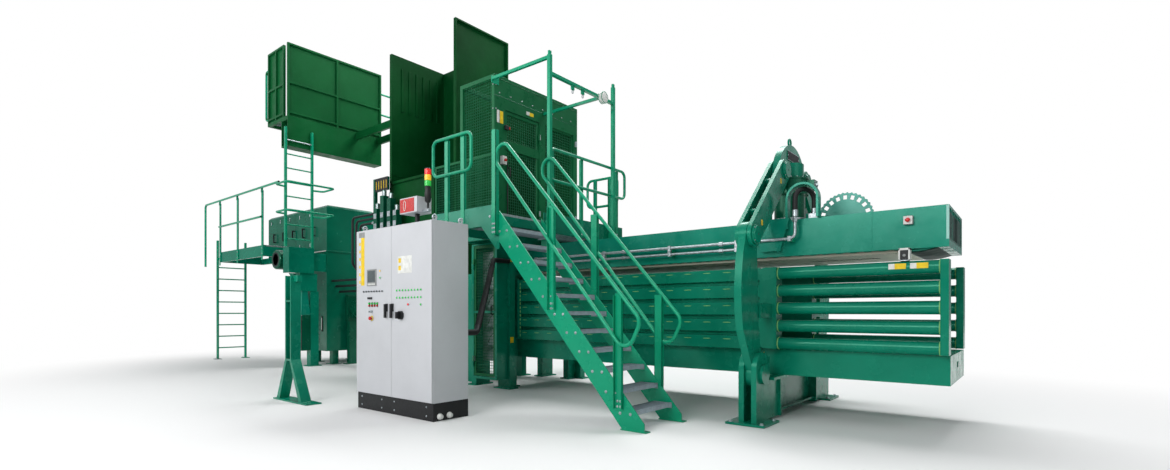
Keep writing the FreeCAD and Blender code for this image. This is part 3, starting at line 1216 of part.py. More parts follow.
def cabinet_shell():
    """Sheet body open at the front on its plinth, with a mounting plate inside and lifting lugs on top."""
    s = CABINET_SHEET
    y = (BODY_FRONT_Y, BODY_BACK_Y)
    outer = block((CABINET_X0, CABINET_X1), y, (CABINET_PLINTH, CABINET_TOP))
    inner = block((CABINET_X0 + s, CABINET_X1 - s), (y[0] - 1, y[1] - s),
                  (CABINET_PLINTH + s, CABINET_TOP - s))
    plate = block((CABINET_X0 + 100, CABINET_X1 - 100), (y[1] - 60, y[1] - s),
                  (CABINET_PLINTH + 120, CABINET_TOP - 120))
    lugs = []
    for x in (CABINET_X0 + 60, CABINET_X1 - 60):
        for lug_y in (y[0] + 60, y[1] - 60):
            lug = block((x - 6, x + 6), (lug_y - 25, lug_y + 25), (CABINET_TOP, CABINET_TOP + 50))
            eye = block((x - 7, x + 7), (lug_y - 13, lug_y + 13), (CABINET_TOP + 12, CABINET_TOP + 38))
            lugs.append(lug.cut(eye))
    plinth = block((CABINET_X0, CABINET_X1), y, (0, CABINET_PLINTH))
    hollow = block((CABINET_X0 + 30, CABINET_X1 - 30), (y[0] + 30, y[1] - 30), (-1, CABINET_PLINTH + 1))
    plinth = plinth.cut(hollow)
    return group([fuse([outer.cut(inner), plate] + lugs), plinth])


def cabinet_door(x0, x1, fittings):
    """Folded door with its fittings on the front."""
    panel = block((x0 + 2, x1 - 2), (CABINET_FRONT_Y, BODY_FRONT_Y - 0.5),
                  (CABINET_PLINTH + 4, CABINET_TOP - 4))
    return fuse([panel] + fittings)


def cabinet_door_left():
    """Operator's door: heads, four double buttons, display frame and the stop button's collar."""
    y = CABINET_FRONT_Y
    fittings = [block((x - 11, x + 11), (y - 12, y), (1432, 1454)) for x in row_of(-4073, 8)]
    fittings += [block((x - 13, x + 13), (y - 16, y), (1258, 1310)) for x in row_of(-3953, 4)]
    fittings.append(block((-4003, -3803), (y - 8, y), (1511, 1711)))
    fittings.append(rod(CABINET_STOP, V(0, -1, 0), 33, STOP_COLLAR))
    door = cabinet_door(CABINET_X0, CABINET_X, fittings)
    return door.cut(stop_socket(CABINET_STOP, "-Y", STOP_COLLAR))


def cabinet_door_right():
    """Power door: two rows of lamp heads and the two single lamps under them."""
    y = CABINET_FRONT_Y
    fittings = [block((x - 11, x + 11), (y - 12, y), (z - 11, z + 11)) for z in (1359, 1443)
                for x in row_of(-3369, 9)]
    fittings += [block((x - 12, x + 12), (y - 14, y), (1268, 1292)) for x in (-3146, -2908)]
    return cabinet_door(CABINET_X, CABINET_X1, fittings)


def row_of(start, count):
    """X of a row of heads at the cabinet's pitch."""
    return [start + LAMP_PITCH * i for i in range(count)]


def key_switch():
    """Key switch with its key, above the stop button."""
    y = CABINET_FRONT_Y
    body = tube([(-3896, y, 1199), (-3896, y - 22, 1199)], 15)
    key = block((-3899, -3893), (y - 50, y - 22), (1187, 1211))
    return fuse([body, key])


def swing_handle(x):
    """Lever handle lying flat on its escutcheon."""
    y = CABINET_FRONT_Y
    boss = block((x - 16, x + 16), (y - 16, y), (1200, 1292))
    lever = block((x - 14, x + 14), (y - 38, y - 16), (1125, 1288))
    return fuse([boss, lever])


def main_switch():
    """Rotary main switch on the right door."""
    x, y, z = MAIN_SWITCH_X, CABINET_FRONT_Y, 1158
    body = tube([(x, y, z), (x, y - 30, z)], 48)
    grip = block((x - 14, x + 14), (y - 75, y - 29), (z - 38, z + 38))
    return fuse([body, grip])


def signal_mast():
    """Sign box with its lens on a post, and the stack light beside it, on the cabinet's roof."""
    top = CABINET_TOP
    post = block((-3310, -3270), (-3110, -3070), (top, 2350))
    box = block((-3500, -3160), (-3190, -2990), (2350, 2530))
    lens = tube([(-3500, -3090, 2440), (-3550, -3090, 2440)], 45)
    arm = block((-3160, -3040), (-3120, -3080), (2350, 2380))
    base = tube([(-3075, -3100, 2380), (-3075, -3100, 2640)], 32)
    stages = rod((-3075, -3100, 2640), Z_AXIS, 37, 210)
    return fuse([post, box, lens, arm, base, stages])


def cabinet_conduit():
    """Rigid conduit from the cabinet's back up to the tying station's column."""
    start = (-2800.0, BODY_BACK_Y, 955.0)
    end = (COLUMN_END_X - 12, -COLUMN_OUTER_Y, 1980.0)
    return tube([start, (start[0], start[1] + 200, start[2]), (end[0], end[1] - 320, end[2]), end], 35, 90)


def cable_stand():
    """Two splayed legs under an upright beam on a floor plate."""
    x, y = -5460.0, -3550.0
    base = block((-5830, -4870), (y - 100, y + 100), (0, 18))
    legs = []
    crotch = 560.0
    for side in (-1, 1):
        foot_mid = x + 20 + side * 320
        top_mid = x + side * 62
        outline = [(foot_mid - 45, 18), (foot_mid + 45, 18), (top_mid + 24, crotch), (top_mid - 24, crotch)]
        legs.append(plate_xz(outline, (y - 65, y + 65)))
    flanges = [block((x + s * 86, x + s * 60), (y - 65, y + 65), (crotch - 20, 1684)) for s in (-1, 1)]
    web = block((x - 60, x + 60), (y - 6, y + 20), (crotch + 60, 1684))
    ties = [block((x - 86, x + 86), (y - 65, y + 65), (z, z + 26)) for z in (crotch - 20, 1330)]
    bracket = block((x + 60, x + 200), (y - 30, y + 30), (1600, 1684))
    return fuse([base] + legs + flanges + [web, bracket] + ties)


# ---------------------------------------------------------------- power pack

def oil_tank():
    """Oil tank on four feet, with a ledge under its lid and a louvred bay for the cooler."""
    body = block((TANK_START_X, TANK_END_X), (TANK_NEAR_Y, TANK_FAR_Y), (TANK_BOTTOM, TANK_TOP))
    bay = block((TANK_START_X + 260, TANK_END_X - 300), (TANK_NEAR_Y - 1, TANK_NEAR_Y + 120), (500, 1500))
    lid = block((TANK_START_X - 10, TANK_END_X + TANK_LEDGE),
                (TANK_NEAR_Y - TANK_LEDGE, TANK_FAR_Y + TANK_LEDGE), (TANK_TOP, TANK_TOP + 30))
    parts = [body.cut(bay), lid]
    slats = 9
    for i in range(slats):
        z = 520 + i * 108
        parts.append(block((TANK_START_X + 260, TANK_END_X - 300), (TANK_NEAR_Y, TANK_NEAR_Y + 60),
                           (z, z + 40)))
    for x in (TANK_START_X + 120, TANK_END_X - 260):
        for y in (TANK_NEAR_Y + 200, TANK_FAR_Y - 340):
            parts.append(block((x, x + 140), (y, y + 140), (20, TANK_BOTTOM)))
            parts.append(block((x - 60, x + 200), (y - 60, y + 200), (0, 20)))
    return fuse(parts)


def pump_enclosure():
    """Sound enclosure over tank and deck, chamfered along its top, with grips on its near side."""
    x = (TANK_END_X - ENCLOSURE_LENGTH, TANK_END_X)
    body = block(x, (TANK_NEAR_Y, TANK_FAR_Y - 300), (ENCLOSURE_BOTTOM, ENCLOSURE_TOP))
    body = body.makeChamfer(45, [e for e in body.Edges if e.CenterOfMass.z > ENCLOSURE_TOP - 1])
    y = (TANK_NEAR_Y - 60, TANK_NEAR_Y)
    grips = []
    for i in range(5):
        gx = x[0] + 420 + 520 * i
        hole = block((gx - 20, gx + 20), (y[0] + 22, y[1]), (2972, 3148))
        grips.append(block((gx - 11, gx + 11), y, (2950, 3170)).cut(hole))
    return fuse([body] + grips)


def pump_motor():
    """Electric motor across the tank's corner: round body with lengthways fins and its fan cowl."""
    x, z = -10590.0, 2340.0
    near = -1620.0
    outline = []
    for i in range(MOTOR_FINS):
        for share, radius in ((0.0, 180.0), (0.35, 180.0), (0.4, 212.0), (0.95, 212.0)):
            angle = 2 * math.pi * (i + share) / MOTOR_FINS
            outline.append((x + radius * math.cos(angle), z + radius * math.sin(angle)))
    body = plate_xz(outline, (near + 150, TANK_NEAR_Y - 120))
    flange = rod((x, TANK_NEAR_Y - 120, z), Y_AXIS, 200, 120)
    cowl = rod((x, near - 20, z), Y_AXIS, 215, 190)
    return fuse([body, flange, cowl])


def drive_box():
    """Drive box beside the motor, with the pump and its mounting plate below."""
    box = block((-10320, -10040), (-1600, -1060), (2040, ENCLOSURE_BOTTOM))
    tie = block((-10320, -10160), (-1060, TANK_NEAR_Y), (2100, 2500))
    pump = block((-10280, -10090), (-1350, -970), (1650, 2040))
    plate = block((-10280, -10100), (-1110, -930), (20, 1650))
    foot = block((-10330, -10050), (-1160, -880), (0, 20))
    return fuse([box, tie, pump, plate, foot])


def oil_cooler():
    """Louvred cooler under the pump with the tapered duct between them."""
    body = block((-10270, -10090), (-1310, -1110), (350, 1130))
    low, high = (-1310, -1110), (-1290, -1170)
    duct = plate_yz([(low[0], 1130), (low[1], 1130), (high[1], 1650), (high[0], 1650)], (-10250, -10110))
    return fuse([body, duct])


def valve_stack():
    """Valve manifolds beside the hopper's back corner on a stand, and the module board on its post."""
    y = -HOPPER_HALF - 120
    columns = ((-7960, 3250), (-7720, 3480), (-7480, 3400), (-7280, 3150))
    parts = [block((-8000, -7200), (y - 140, y), (2420, 2480))]
    for x, top in columns:
        parts.append(block((x, x + 120), (y - 120, y), (2480, top)))
        parts.append(tube([(x + 60, y - 60, top), (x + 60, y - 60, top + 110)], 40))
    for x in (-7980, -7280):
        parts.append(block((x, x + 60), (y - 100, y - 40), (20, 2420)))
        parts.append(block((x - 40, x + 100), (y - 140, y), (0, 20)))
    post = block((-8060, -8000), (y - 60, y), (2420, 3860))
    board = block((-8000, -7560), (y - 50, y - 10), (3600, 3860))
    return fuse(parts + [post, board])


def hydraulic_pipes():
    """Three bent pipes from the tank's end up and over to the valve stack."""
    pipes = []
    for i in range(3):
        drop_x, level, outlet = -8800 + 150 * i, 3160 - 90 * i, 1900 - 120 * i
        y_tank, y_stack = -600.0 + 90 * i, -HOPPER_HALF - 212
        route = [(TANK_END_X, y_tank, outlet), (drop_x, y_tank, outlet), (drop_x, y_stack, outlet + 300),
                 (drop_x, y_stack, level), (-7960, y_stack, level)]
        pipes.append(tube(route, 24, 70))
    return group(pipes)


# ---------------------------------------------------------------- service deck and gallery

def service_deck():
    """Edge beams, strut, posts and rails of the deck beside the enclosure."""
    x = (DECK_START_X, DECK_END_X)
    z = (DECK_BOTTOM, DECK_TOP)
    t = 40.0
    parts = [block(x, (DECK_NEAR_Y, DECK_NEAR_Y + t), z),
             block((x[0], x[0] + t), (DECK_NEAR_Y, TANK_NEAR_Y), z),
             block((x[0], TANK_START_X - 10), (TANK_NEAR_Y, TANK_NEAR_Y + 60),
                   (DECK_BOTTOM, ENCLOSURE_BOTTOM)),
             block((x[1] - t, x[1]), (DECK_NEAR_Y, TANK_NEAR_Y - TANK_LEDGE), (DECK_BOTTOM, DECK_TOP - 30))]
    strut = [(-12400, DECK_BOTTOM), (-12200, DECK_BOTTOM), (TANK_START_X, 1750), (TANK_START_X, 1600)]
    parts.append(plate_xz(strut, (TANK_NEAR_Y, TANK_NEAR_Y + 100)))
    y = DECK_NEAR_Y
    rail_y = y - 12 - RAIL_R
    for post_x in (-13590, -12490, -11100):
        parts.append(block((post_x - 50, post_x + 50), (y - 12, y), (DECK_BOTTOM + 20, 3900)))
        parts.append(block((post_x - 20, post_x + 20), (rail_y, y), (3860, 3960)))
    parts.append(tube([(-14540, rail_y, 2370), (-14540, rail_y, 3970), (-10210, rail_y, 3970)], RAIL_R, 60))
    parts.append(tube([(-13590, rail_y, 3320), (-11100, rail_y, 3320)], RAIL_R))
    return fuse(parts)


def ladder(x, y, z, first_rung, pitch, rungs):
    """Two stiles and round rungs; x is the plane the ladder stands in."""
    parts = [block((x - 30, x + 30), (side, side + 40), z) for side in (y[0], y[1] - 40)]
    for i in range(rungs):
        rung = first_rung + i * pitch
        parts.append(tube([(x, y[0] + 20, rung), (x, y[1] - 20, rung)], 15))
    return parts


def ladders():
    """Deck ladder with floor plates and brackets, and the gallery ladder with its two hoops."""
    y = (-1720, -1040)
    deck = ladder(-13790, y, (0, 3000), 290, 290, 8)
    for side in (y[0], y[1] - 40):
        deck.append(block((-13880, -13700), (side - 50, side + 90), (0, 15)))
    deck += [block((-13760, DECK_START_X), (side, side + 40), (2500, 2560)) for side in (-1690, -1080)]
    x_up = GALLERY_END_X + 30
    gallery = ladder(x_up, (-1680, -1080), (ENCLOSURE_BOTTOM, 5130), 2760, 300, 8)
    for z in (3280, 3860):
        gallery.append(tube([(x_up, -1660, z), (x_up + 60, -1880, z), (x_up + 560, -1880, z),
                             (x_up + 560, -880, z), (x_up + 60, -880, z), (x_up, -1100, z)], RAIL_R, 60))
    return group([fuse(deck), fuse(gallery)])


def gallery_frame():
    """Box beams under the gallery, the open beam end at its near corner and the arms to the hopper."""
    x = (GALLERY_START_X, GALLERY_END_X)
    y = (GALLERY_NEAR_Y, GALLERY_FAR_Y)
    z = (GALLERY_FLOOR - 60, GALLERY_FLOOR)
    parts = [block((x[0], x[0] + 60), y, z), block((x[1] - 60, x[1]), y, z),
             block(x, (y[0], y[0] + 60), z), block(x, (y[1] - 60, y[1]), z)]
    beam = block((x[1] - 310, x[1]), y, (4750, z[0]))
    beam = beam.cut(block((x[1] - 290, x[1] - 20), (y[0] - 1, y[1] + 1), (4780, z[0] - 30)))
    parts.append(beam)
    for arm_y in (y[1] - 120, -60):
        parts.append(block((x[1], CHAMBER_START_X), (arm_y, arm_y + 60), (GALLERY_FLOOR - 160, z[1])))
    return fuse(parts)


def gallery_panel(along, across, outward):
    """A ribbed sheet guard; along and across give its length and place on the two level axes."""
    z = (GALLERY_FLOOR, GALLERY_PANEL_TOP)
    rib = 40.0

    def place(run, level, depth):
        sheet = (across, across + outward * depth)
        return block(sheet, run, level) if outward > 0 else block(run, sheet, level)

    parts = [place(along, z, 10.0)]
    for start in (along[0], (along[0] + along[1] - rib) / 2, along[1] - rib):
        parts.append(place((start, start + rib), z, 50.0))
    for level in (z[0] + 60, z[0] + 700, z[1] - rib):
        parts.append(place(along, (level, level + rib), 50.0))
    return fuse(parts)


def gallery_guard():
    """Sheet guards on the gallery's outlet and near sides, and the bent rails beyond their ends."""
    outlet = gallery_panel((GALLERY_NEAR_Y, GALLERY_FAR_Y), GALLERY_END_X - 50, 1)
    near = gallery_panel((GALLERY_START_X, GALLERY_END_X - 210), GALLERY_NEAR_Y + 50, -1)
    x = GALLERY_END_X - 25
    rails = [tube([(x, GALLERY_FAR_Y, z), (x, GALLERY_FAR_Y + 700, z)], RAIL_R) for z in (6000, 6500)]
    y = GALLERY_NEAR_Y + 21
    bend_x = GALLERY_START_X - 120
    hoop = tube([(GALLERY_START_X, y, 5500), (bend_x, y, 5500), (bend_x, y, 6600),
                 (GALLERY_START_X, y, 6600)], RAIL_R, 60)
    return group([fuse([outlet] + rails), fuse([near, hoop])])


# ---------------------------------------------------------------- output

def main():
    """Builds every sub-part and writes one file for each."""
    wall, arm, links = side_wall_near(), yoke_arm_near(), yoke_links_near()
    nodes = {
        "base_beam": base_beam(),
        "yoke_stand": yoke_stand(),
        "yoke_lower_pins": yoke_lower_pins(),
        "press_chamber": press_chamber(),
        "main_cylinder": main_cylinder(),
        "press_ram": press_ram(),
        "tying_frame": tying_frame(),
        "needle_carriage": needle_carriage(),
        "wire_tensioners": wire_tensioners(),
        "tying_door": tying_door(),
        "side_wall_near": wall,
        "side_wall_far": mirror_y(wall),
        "outlet_switch_box": outlet_switch_box(),
        "press_lid": press_lid(),
        "lid_pipes": lid_pipes(),
        "lid_hoses": lid_hoses(),
        "stop_button_lid": stop_button(LID_STOP, "-Y"),
        "yoke_arm_near": arm,
        "yoke_arm_far": mirror_y(arm),
        "yoke_links_near": links,
        "yoke_links_far": mirror_y(links),
        "squeeze_head": squeeze_head(),
        "squeeze_barrel": squeeze_barrel(),
        "squeeze_rod": squeeze_rod(),
        "wheel_arm": wheel_arm(),
        "measuring_wheel": measuring_wheel(),
        "hopper_rear_panel": hopper_rear_panel(),
        "hopper_front_panel": hopper_front_panel(),
        "hopper_side_walls": hopper_side_walls(),
        "guard_cage": guard_cage(),
        "cage_mesh": cage_mesh(),
        "cage_door": cage_door(),
        "stop_button_cage": stop_button(CAGE_STOP, "+X"),
        "platform_frame": platform_frame(),
        "floor_gratings": floor_gratings(),
        "handrails": handrails(),
        "lamp_gallows": lamp_gallows(),
        "stair_stringers": stair_stringers(),
        "stair_treads": stair_treads(),
        "cabinet_shell": cabinet_shell(),
        "cabinet_door_left": cabinet_door_left(),
        "cabinet_door_right": cabinet_door_right(),
        "stop_button_cabinet": stop_button(CABINET_STOP, "-Y", STOP_COLLAR),
        "key_switch": key_switch(),
        "handle_left": swing_handle(CABINET_X - 90),
        "handle_right": swing_handle(CABINET_X + 30),
        "main_switch": main_switch(),
        "signal_mast": signal_mast(),
        "cabinet_conduit": cabinet_conduit(),
        "cable_stand": cable_stand(),
        "oil_tank": oil_tank(),
        "pump_enclosure": pump_enclosure(),
        "pump_motor": pump_motor(),
        "drive_box": drive_box(),
        "oil_cooler": oil_cooler(),
        "valve_stack": valve_stack(),
        "hydraulic_pipes": hydraulic_pipes(),
        "service_deck": service_deck(),
        "ladders": ladders(),
        "gallery": group([gallery_frame(), gallery_guard()]),
    }
    os.makedirs("parts", exist_ok=True)
    for name, shape in nodes.items():
        shape.exportStep("parts/" + name + ".step")


main()
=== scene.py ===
import json
import math

import bmesh
import bpy
from mathutils import Matrix, Vector

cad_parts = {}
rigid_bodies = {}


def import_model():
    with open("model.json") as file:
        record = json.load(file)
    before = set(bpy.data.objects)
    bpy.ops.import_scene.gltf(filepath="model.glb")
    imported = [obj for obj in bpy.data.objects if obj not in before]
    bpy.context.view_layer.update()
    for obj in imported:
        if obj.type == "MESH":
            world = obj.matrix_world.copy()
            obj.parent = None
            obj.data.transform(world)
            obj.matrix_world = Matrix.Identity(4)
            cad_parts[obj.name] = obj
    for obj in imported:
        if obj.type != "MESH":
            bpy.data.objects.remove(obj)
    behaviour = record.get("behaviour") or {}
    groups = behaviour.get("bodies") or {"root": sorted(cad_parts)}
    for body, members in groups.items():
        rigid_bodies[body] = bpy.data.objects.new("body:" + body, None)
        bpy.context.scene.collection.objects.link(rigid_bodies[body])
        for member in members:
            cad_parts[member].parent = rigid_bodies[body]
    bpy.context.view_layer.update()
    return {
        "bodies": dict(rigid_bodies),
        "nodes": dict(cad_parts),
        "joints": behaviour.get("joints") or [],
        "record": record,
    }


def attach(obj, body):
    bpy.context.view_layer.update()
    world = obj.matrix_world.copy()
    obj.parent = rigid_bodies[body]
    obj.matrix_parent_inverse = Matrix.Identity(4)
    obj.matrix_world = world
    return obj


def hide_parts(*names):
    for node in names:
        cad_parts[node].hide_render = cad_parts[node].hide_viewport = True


# Looks of the channel baler. Metres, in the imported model's frame: +X to the outlet, +Y far side, +Z up.

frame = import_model()
NODES = frame["nodes"]
ALONG, ACROSS, UP, NEAR = (1, 0, 0), (0, 1, 0), (0, 0, 1), (0, -1, 0)

# ---------------------------------------------------------------- camera, floor and light

CAMERA_AT = (2.41, -7.045, 1.195)
CAMERA_TURN = math.radians(38.76)
LENS_MM, SENSOR_MM = 17.415, 36.0
SHIFT_UP = 0.0658
FAR_CLIP = 200.0
FLOOR_SIZE = 90.0
FLOOR_AT = (-5.0, 0.0, -0.001)
FLOOR_GREY = (0.88, 0.88, 0.88, 1.0)
SKY_STRENGTH = 0.2
HALL_LOW, HALL_HIGH = 0.28, 1.25
FADE_REACH, FADE_FROM = (13.0, 8.5), 0.48
PURE_WHITE = (1.0, 1.0, 1.0, 1.0)
SMOOTH, TIMES = {"interpolation_type": "SMOOTHSTEP"}, {"operation": "MULTIPLY"}
SOFTBOXES = (
    ("key", (-1.5, -13.0, 6.5), (-2.5, 0.0, 1.5), (8.0, 5.0), 900.0),
    ("fill", (-13.0, -12.0, 7.0), (-6.0, 0.0, 2.0), (9.0, 6.0), 480.0),
    ("outlet", (8.0, -2.0, 6.0), (0.0, 0.0, 1.5), (5.0, 4.0), 80.0),
    ("top", (-4.0, 5.0, 13.0), (-4.0, -1.0, 0.0), (14.0, 5.0), 1900.0),
)


def placed(name, data, at=(0.0, 0.0, 0.0)):
    """An object with the given data, put in the scene."""
    made = bpy.data.objects.new(name, data)
    made.location = at
    bpy.context.scene.collection.objects.link(made)
    return made


def add_node(tree, kind, settings=None, inputs=None):
    """A new node; each of its inputs is given a value or another node's output."""
    made = tree.nodes.new(kind)
    for key, value in (settings or {}).items():
        setattr(made, key, value)
    for key, value in (inputs or {}).items():
        join(tree, value, made.inputs[key])
    return made


def join(tree, value, socket):
    if isinstance(value, bpy.types.NodeSocket):
        tree.links.new(value, socket)
    else:
        socket.default_value = value


def make_camera():
    data = bpy.data.cameras.new("camera")
    data.lens, data.sensor_width, data.shift_y, data.clip_end = LENS_MM, SENSOR_MM, SHIFT_UP, FAR_CLIP
    camera = placed("camera", data, CAMERA_AT)
    camera.rotation_euler = (math.pi / 2, 0.0, CAMERA_TURN)
    bpy.context.scene.camera = camera
    bpy.context.scene.view_settings.view_transform = "Standard"


def softbox(name, at, aim, size, watts):
    data = bpy.data.lights.new(name, "AREA")
    data.shape = "RECTANGLE"
    data.size, data.size_y = size
    data.energy = watts
    light = placed(name, data, at)
    light.rotation_mode = "QUATERNION"
    light.rotation_quaternion = (Vector(aim) - Vector(at)).to_track_quat("-Z", "Y")


def make_world():
    """Soft sky for the light, a hall with bright roof and tall windows for the reflections, white behind."""
    world = bpy.data.worlds.new("hall")
    bpy.context.scene.world = world
    world.use_nodes = True
    tree = world.node_tree
    tree.nodes.clear()

    def node(kind, settings=None, inputs=None, out=0):
        return add_node(tree, "ShaderNode" + kind, settings, inputs).outputs[out]

    def backdrop(colour, strength):
        return node("Background", None, {"Color": colour, "Strength": strength})

    paths = add_node(tree, "ShaderNodeLightPath").outputs
    look = node("TexCoord", out="Generated")
    height = node("SeparateXYZ", None, {0: look}, "Z")
    roof = node("MapRange", SMOOTH, {0: height, "From Min": 0.0, "From Max": 0.75, "To Min": HALL_LOW,
                                     "To Max": HALL_HIGH})
    round_wall = node("VectorMath", TIMES, {0: look, 1: (1.0, 1.0, 0.12)})
    panes = node("TexNoise", None, {"Vector": round_wall, "Scale": 4.5, "Detail": 1.0}, "Fac")
    bright = node("MapRange", SMOOTH, {0: panes, "From Min": 0.42, "From Max": 0.6, "To Min": 0.45,
                                       "To Max": 1.5})
    soft = backdrop((0.93, 0.97, 1.0, 1.0), SKY_STRENGTH)
    mirrored = backdrop((0.9, 0.97, 1.0, 1.0), node("Math", TIMES, {0: roof, 1: bright}))
    clear = node("Math", {"operation": "MAXIMUM"}, {0: paths["Is Camera Ray"], 1: paths["Is Transmission Ray"]})
    lit = node("MixShader", None, {0: paths["Is Glossy Ray"], 1: soft, 2: mirrored})
    whole = node("MixShader", None, {0: clear, 1: lit, 2: backdrop(PURE_WHITE, 1.0)})
    add_node(tree, "ShaderNodeOutputWorld", None, {"Surface": whole})


def make_floor():
    """Pale floor that shows shadows near the machine and fades into the white further off."""
    half = FLOOR_SIZE / 2
    mesh = bpy.data.meshes.new("floor")
    mesh.from_pydata([(-half, -half, 0), (half, -half, 0), (half, half, 0), (-half, half, 0)], [], [(0, 1, 2, 3)])
    floor = placed("floor", mesh, FLOOR_AT)
    paint = Finish("pale_floor")
    reach = paint.node("VectorMath", TIMES, {0: paint.coords, 1: (1.0 / FADE_REACH[0], 1.0 / FADE_REACH[1], 0.0)})
    length = paint.node("VectorMath", {"operation": "LENGTH"}, {0: reach}, "Value")
    fade = paint.node("MapRange", SMOOTH, {0: length, "From Min": FADE_FROM})
    glow = paint.node("Emission", None, {"Color": PURE_WHITE})
    mix = paint.node("MixShader", None, {0: fade, 1: paint.shader.outputs[0], 2: glow})
    join(paint.tree, mix, paint.tree.nodes["Material Output"].inputs["Surface"])
    mesh.materials.append(paint.set(base_color=FLOOR_GREY, roughness=0.8, specular_ior_level=0.1))


# ---------------------------------------------------------------- finishes

# The second tint lightens the paint's edges: partly worn paint, partly a painted highlight.
DUST_TINT, WEAR_AND_HIGHLIGHT_TINT = (0.5, 1.0, 0.95), (0.4, 1.0, 0.8)
EDGE_RADIUS = 0.004


def srgb(red, green, blue):
    """A colour given in the usual 0 to 255 values, as the shader wants it."""
    values = []
    for part in (red, green, blue):
        share = part / 255.0
        values.append(share / 12.92 if share <= 0.04045 else ((share + 0.055) / 1.055) ** 2.4)
    return (*values, 1.0)


def toned(colour, factor, share=0.0, tint=(0.0, 0.0, 0.0)):
    """The colour times a factor, with a share of a tint on top."""
    return tuple(c * factor + t * share for c, t in zip(colour, tint)) + (1.0,)


class Finish:
    """A procedural material under construction, read on Object coordinates."""

    def __init__(self, name, slot=None):
        self.material = bpy.data.materials.new(name)
        self.material.use_nodes = True
        self.tree = self.material.node_tree
        self.shader = self.tree.nodes["Principled BSDF"]
        self.coords = self.node("TexCoord", out="Object")

    def node(self, kind, settings=None, inputs=None, out=0):
        """One output of a new shader node."""
        return add_node(self.tree, "ShaderNode" + kind, settings, inputs).outputs[out]

    def stretched(self, scale):
        """Object coordinates, stretched along the axes."""
        return self.node("Mapping", None, {"Vector": self.coords, "Scale": scale})

    def noise(self, scale, detail=4.0, rough=0.55, vector=None):
        return self.node("TexNoise", None, {"Vector": vector or self.coords, "Scale": scale, "Detail": detail,
                                            "Roughness": rough}, "Fac")

    def cells(self, scale):
        """Crystal pattern, each cell in its own grey."""
        colour = self.node("TexVoronoi", None, {"Vector": self.coords, "Scale": scale}, "Color")
        return self.node("SeparateColor", None, {0: colour}, "Red")

    def ramp(self, value, low, high, start=0.0, end=1.0):
        return self.node("MapRange", None, {"Value": value, "From Min": start, "From Max": end, "To Min": low,
                                            "To Max": high})

    def blend(self, share, first, second, mode="MIX"):
        return self.node("Mix", {"data_type": "RGBA", "blend_type": mode}, {0: share, 6: first, 7: second}, 2)

    def clouds(self, noise, first, second, start=0.3, end=0.7):
        """Two tones in soft clouds."""
        return self.blend(self.ramp(noise, 0.0, 1.0, start, end), first, second)

    def rounded(self):
        """The surface's direction with its sharp edges rounded off."""
        return self.node("Bevel", {"samples": 6}, {"Radius": EDGE_RADIUS})

    def edges(self):
        """How much a place is near an edge, from 0 to 1."""
        flat = self.node("NewGeometry", out="Normal")
        turn = self.node("VectorMath", {"operation": "DOT_PRODUCT"}, {0: self.rounded(), 1: flat}, "Value")
        return self.ramp(turn, 1.0, 0.0, 0.8, 0.985)

    def relief(self, height, strength, distance):
        bump = self.node("Bump", None, {"Height": height, "Strength": strength, "Distance": distance,
                                        "Normal": self.rounded()})
        join(self.tree, bump, self.shader.inputs["Normal"])

    def set(self, **values):
        for key, value in values.items():
            join(self.tree, value, self.shader.inputs[key.replace("_", " ").title().replace("Ior", "IOR")])
        return self.material


def machine_paint(name, slot, rgb, gloss=0.24, cloud=0.22, dust=0.08, streak=0.0, wear_and_highlight=0.5, shine=0.2):
    """Sprayed enamel: clouded tone, a little dust, orange-peel relief and lighter edges, partly worn paint and partly
    a painted highlight.
    """
    paint, colour = Finish(name, slot), srgb(*rgb)
    deep = toned(colour, 1.0 - cloud)
    pale = tuple(min(1.0, c * (1.0 + cloud) + 0.002) for c in colour[:3]) + (1.0,)
    tone = paint.clouds(paint.noise(0.9, 5.0), deep, pale)
    dusty = paint.ramp(paint.noise(7.0, 8.0, 0.7), 0.0, dust, 0.5, 0.8)
    tone = paint.blend(dusty, tone, toned(colour, 0.8, 0.09, DUST_TINT))
    if streak:
        runs = paint.noise(3.0, 6.0, 0.6, paint.stretched((3.0, 3.0, 0.12)))
        tone = paint.blend(paint.ramp(runs, 0.0, streak, 0.52, 0.8), tone, deep)
    # Edges and inside corners made lighter and tinted: partly worn paint, partly a painted highlight along the edges.
    if wear_and_highlight:
        wear_and_highlight_mask = paint.node("Math", TIMES, {0: paint.edges(), 1: paint.ramp(paint.noise(30.0), 0.2, wear_and_highlight, 0.35, 0.65)})
        tone = paint.blend(wear_and_highlight_mask, tone, toned(colour, 1.3, 0.05, WEAR_AND_HIGHLIGHT_TINT))
    rough = paint.ramp(paint.noise(5.0, 6.0), gloss - 0.07, gloss + 0.14, 0.3, 0.7)
    paint.relief(paint.noise(160.0, 2.0), 0.12, 0.0015)
    peak = max(colour[:3])
    tint = tuple(0.4 + 0.6 * c / peak for c in colour[:3]) + (1.0,)
    return paint.set(base_color=tone, roughness=rough, specular_ior_level=shine, specular_tint=tint)


def bare_metal(name, slot, rgb, rough=0.32, spangle=0.0, scale=60.0):
    """Rolled or galvanised steel with a fine grain and, where zinc coated, its crystal pattern."""
    metal, colour = Finish(name, slot), srgb(*rgb)
    tone = metal.clouds(metal.noise(14.0, 6.0), toned(colour, 0.72), colour)
    if spangle:
        tone = metal.blend(spangle, tone, metal.cells(scale), "SOFT_LIGHT")
    grain = metal.noise(90.0, 3.0, 0.6, metal.stretched((1.0, 1.0, 6.0)))
    metal.relief(grain, 0.15, 0.001)
    return metal.set(base_color=tone, roughness=metal.ramp(grain, rough - 0.06, rough + 0.12, 0.3, 0.7),
                     metallic=0.85)


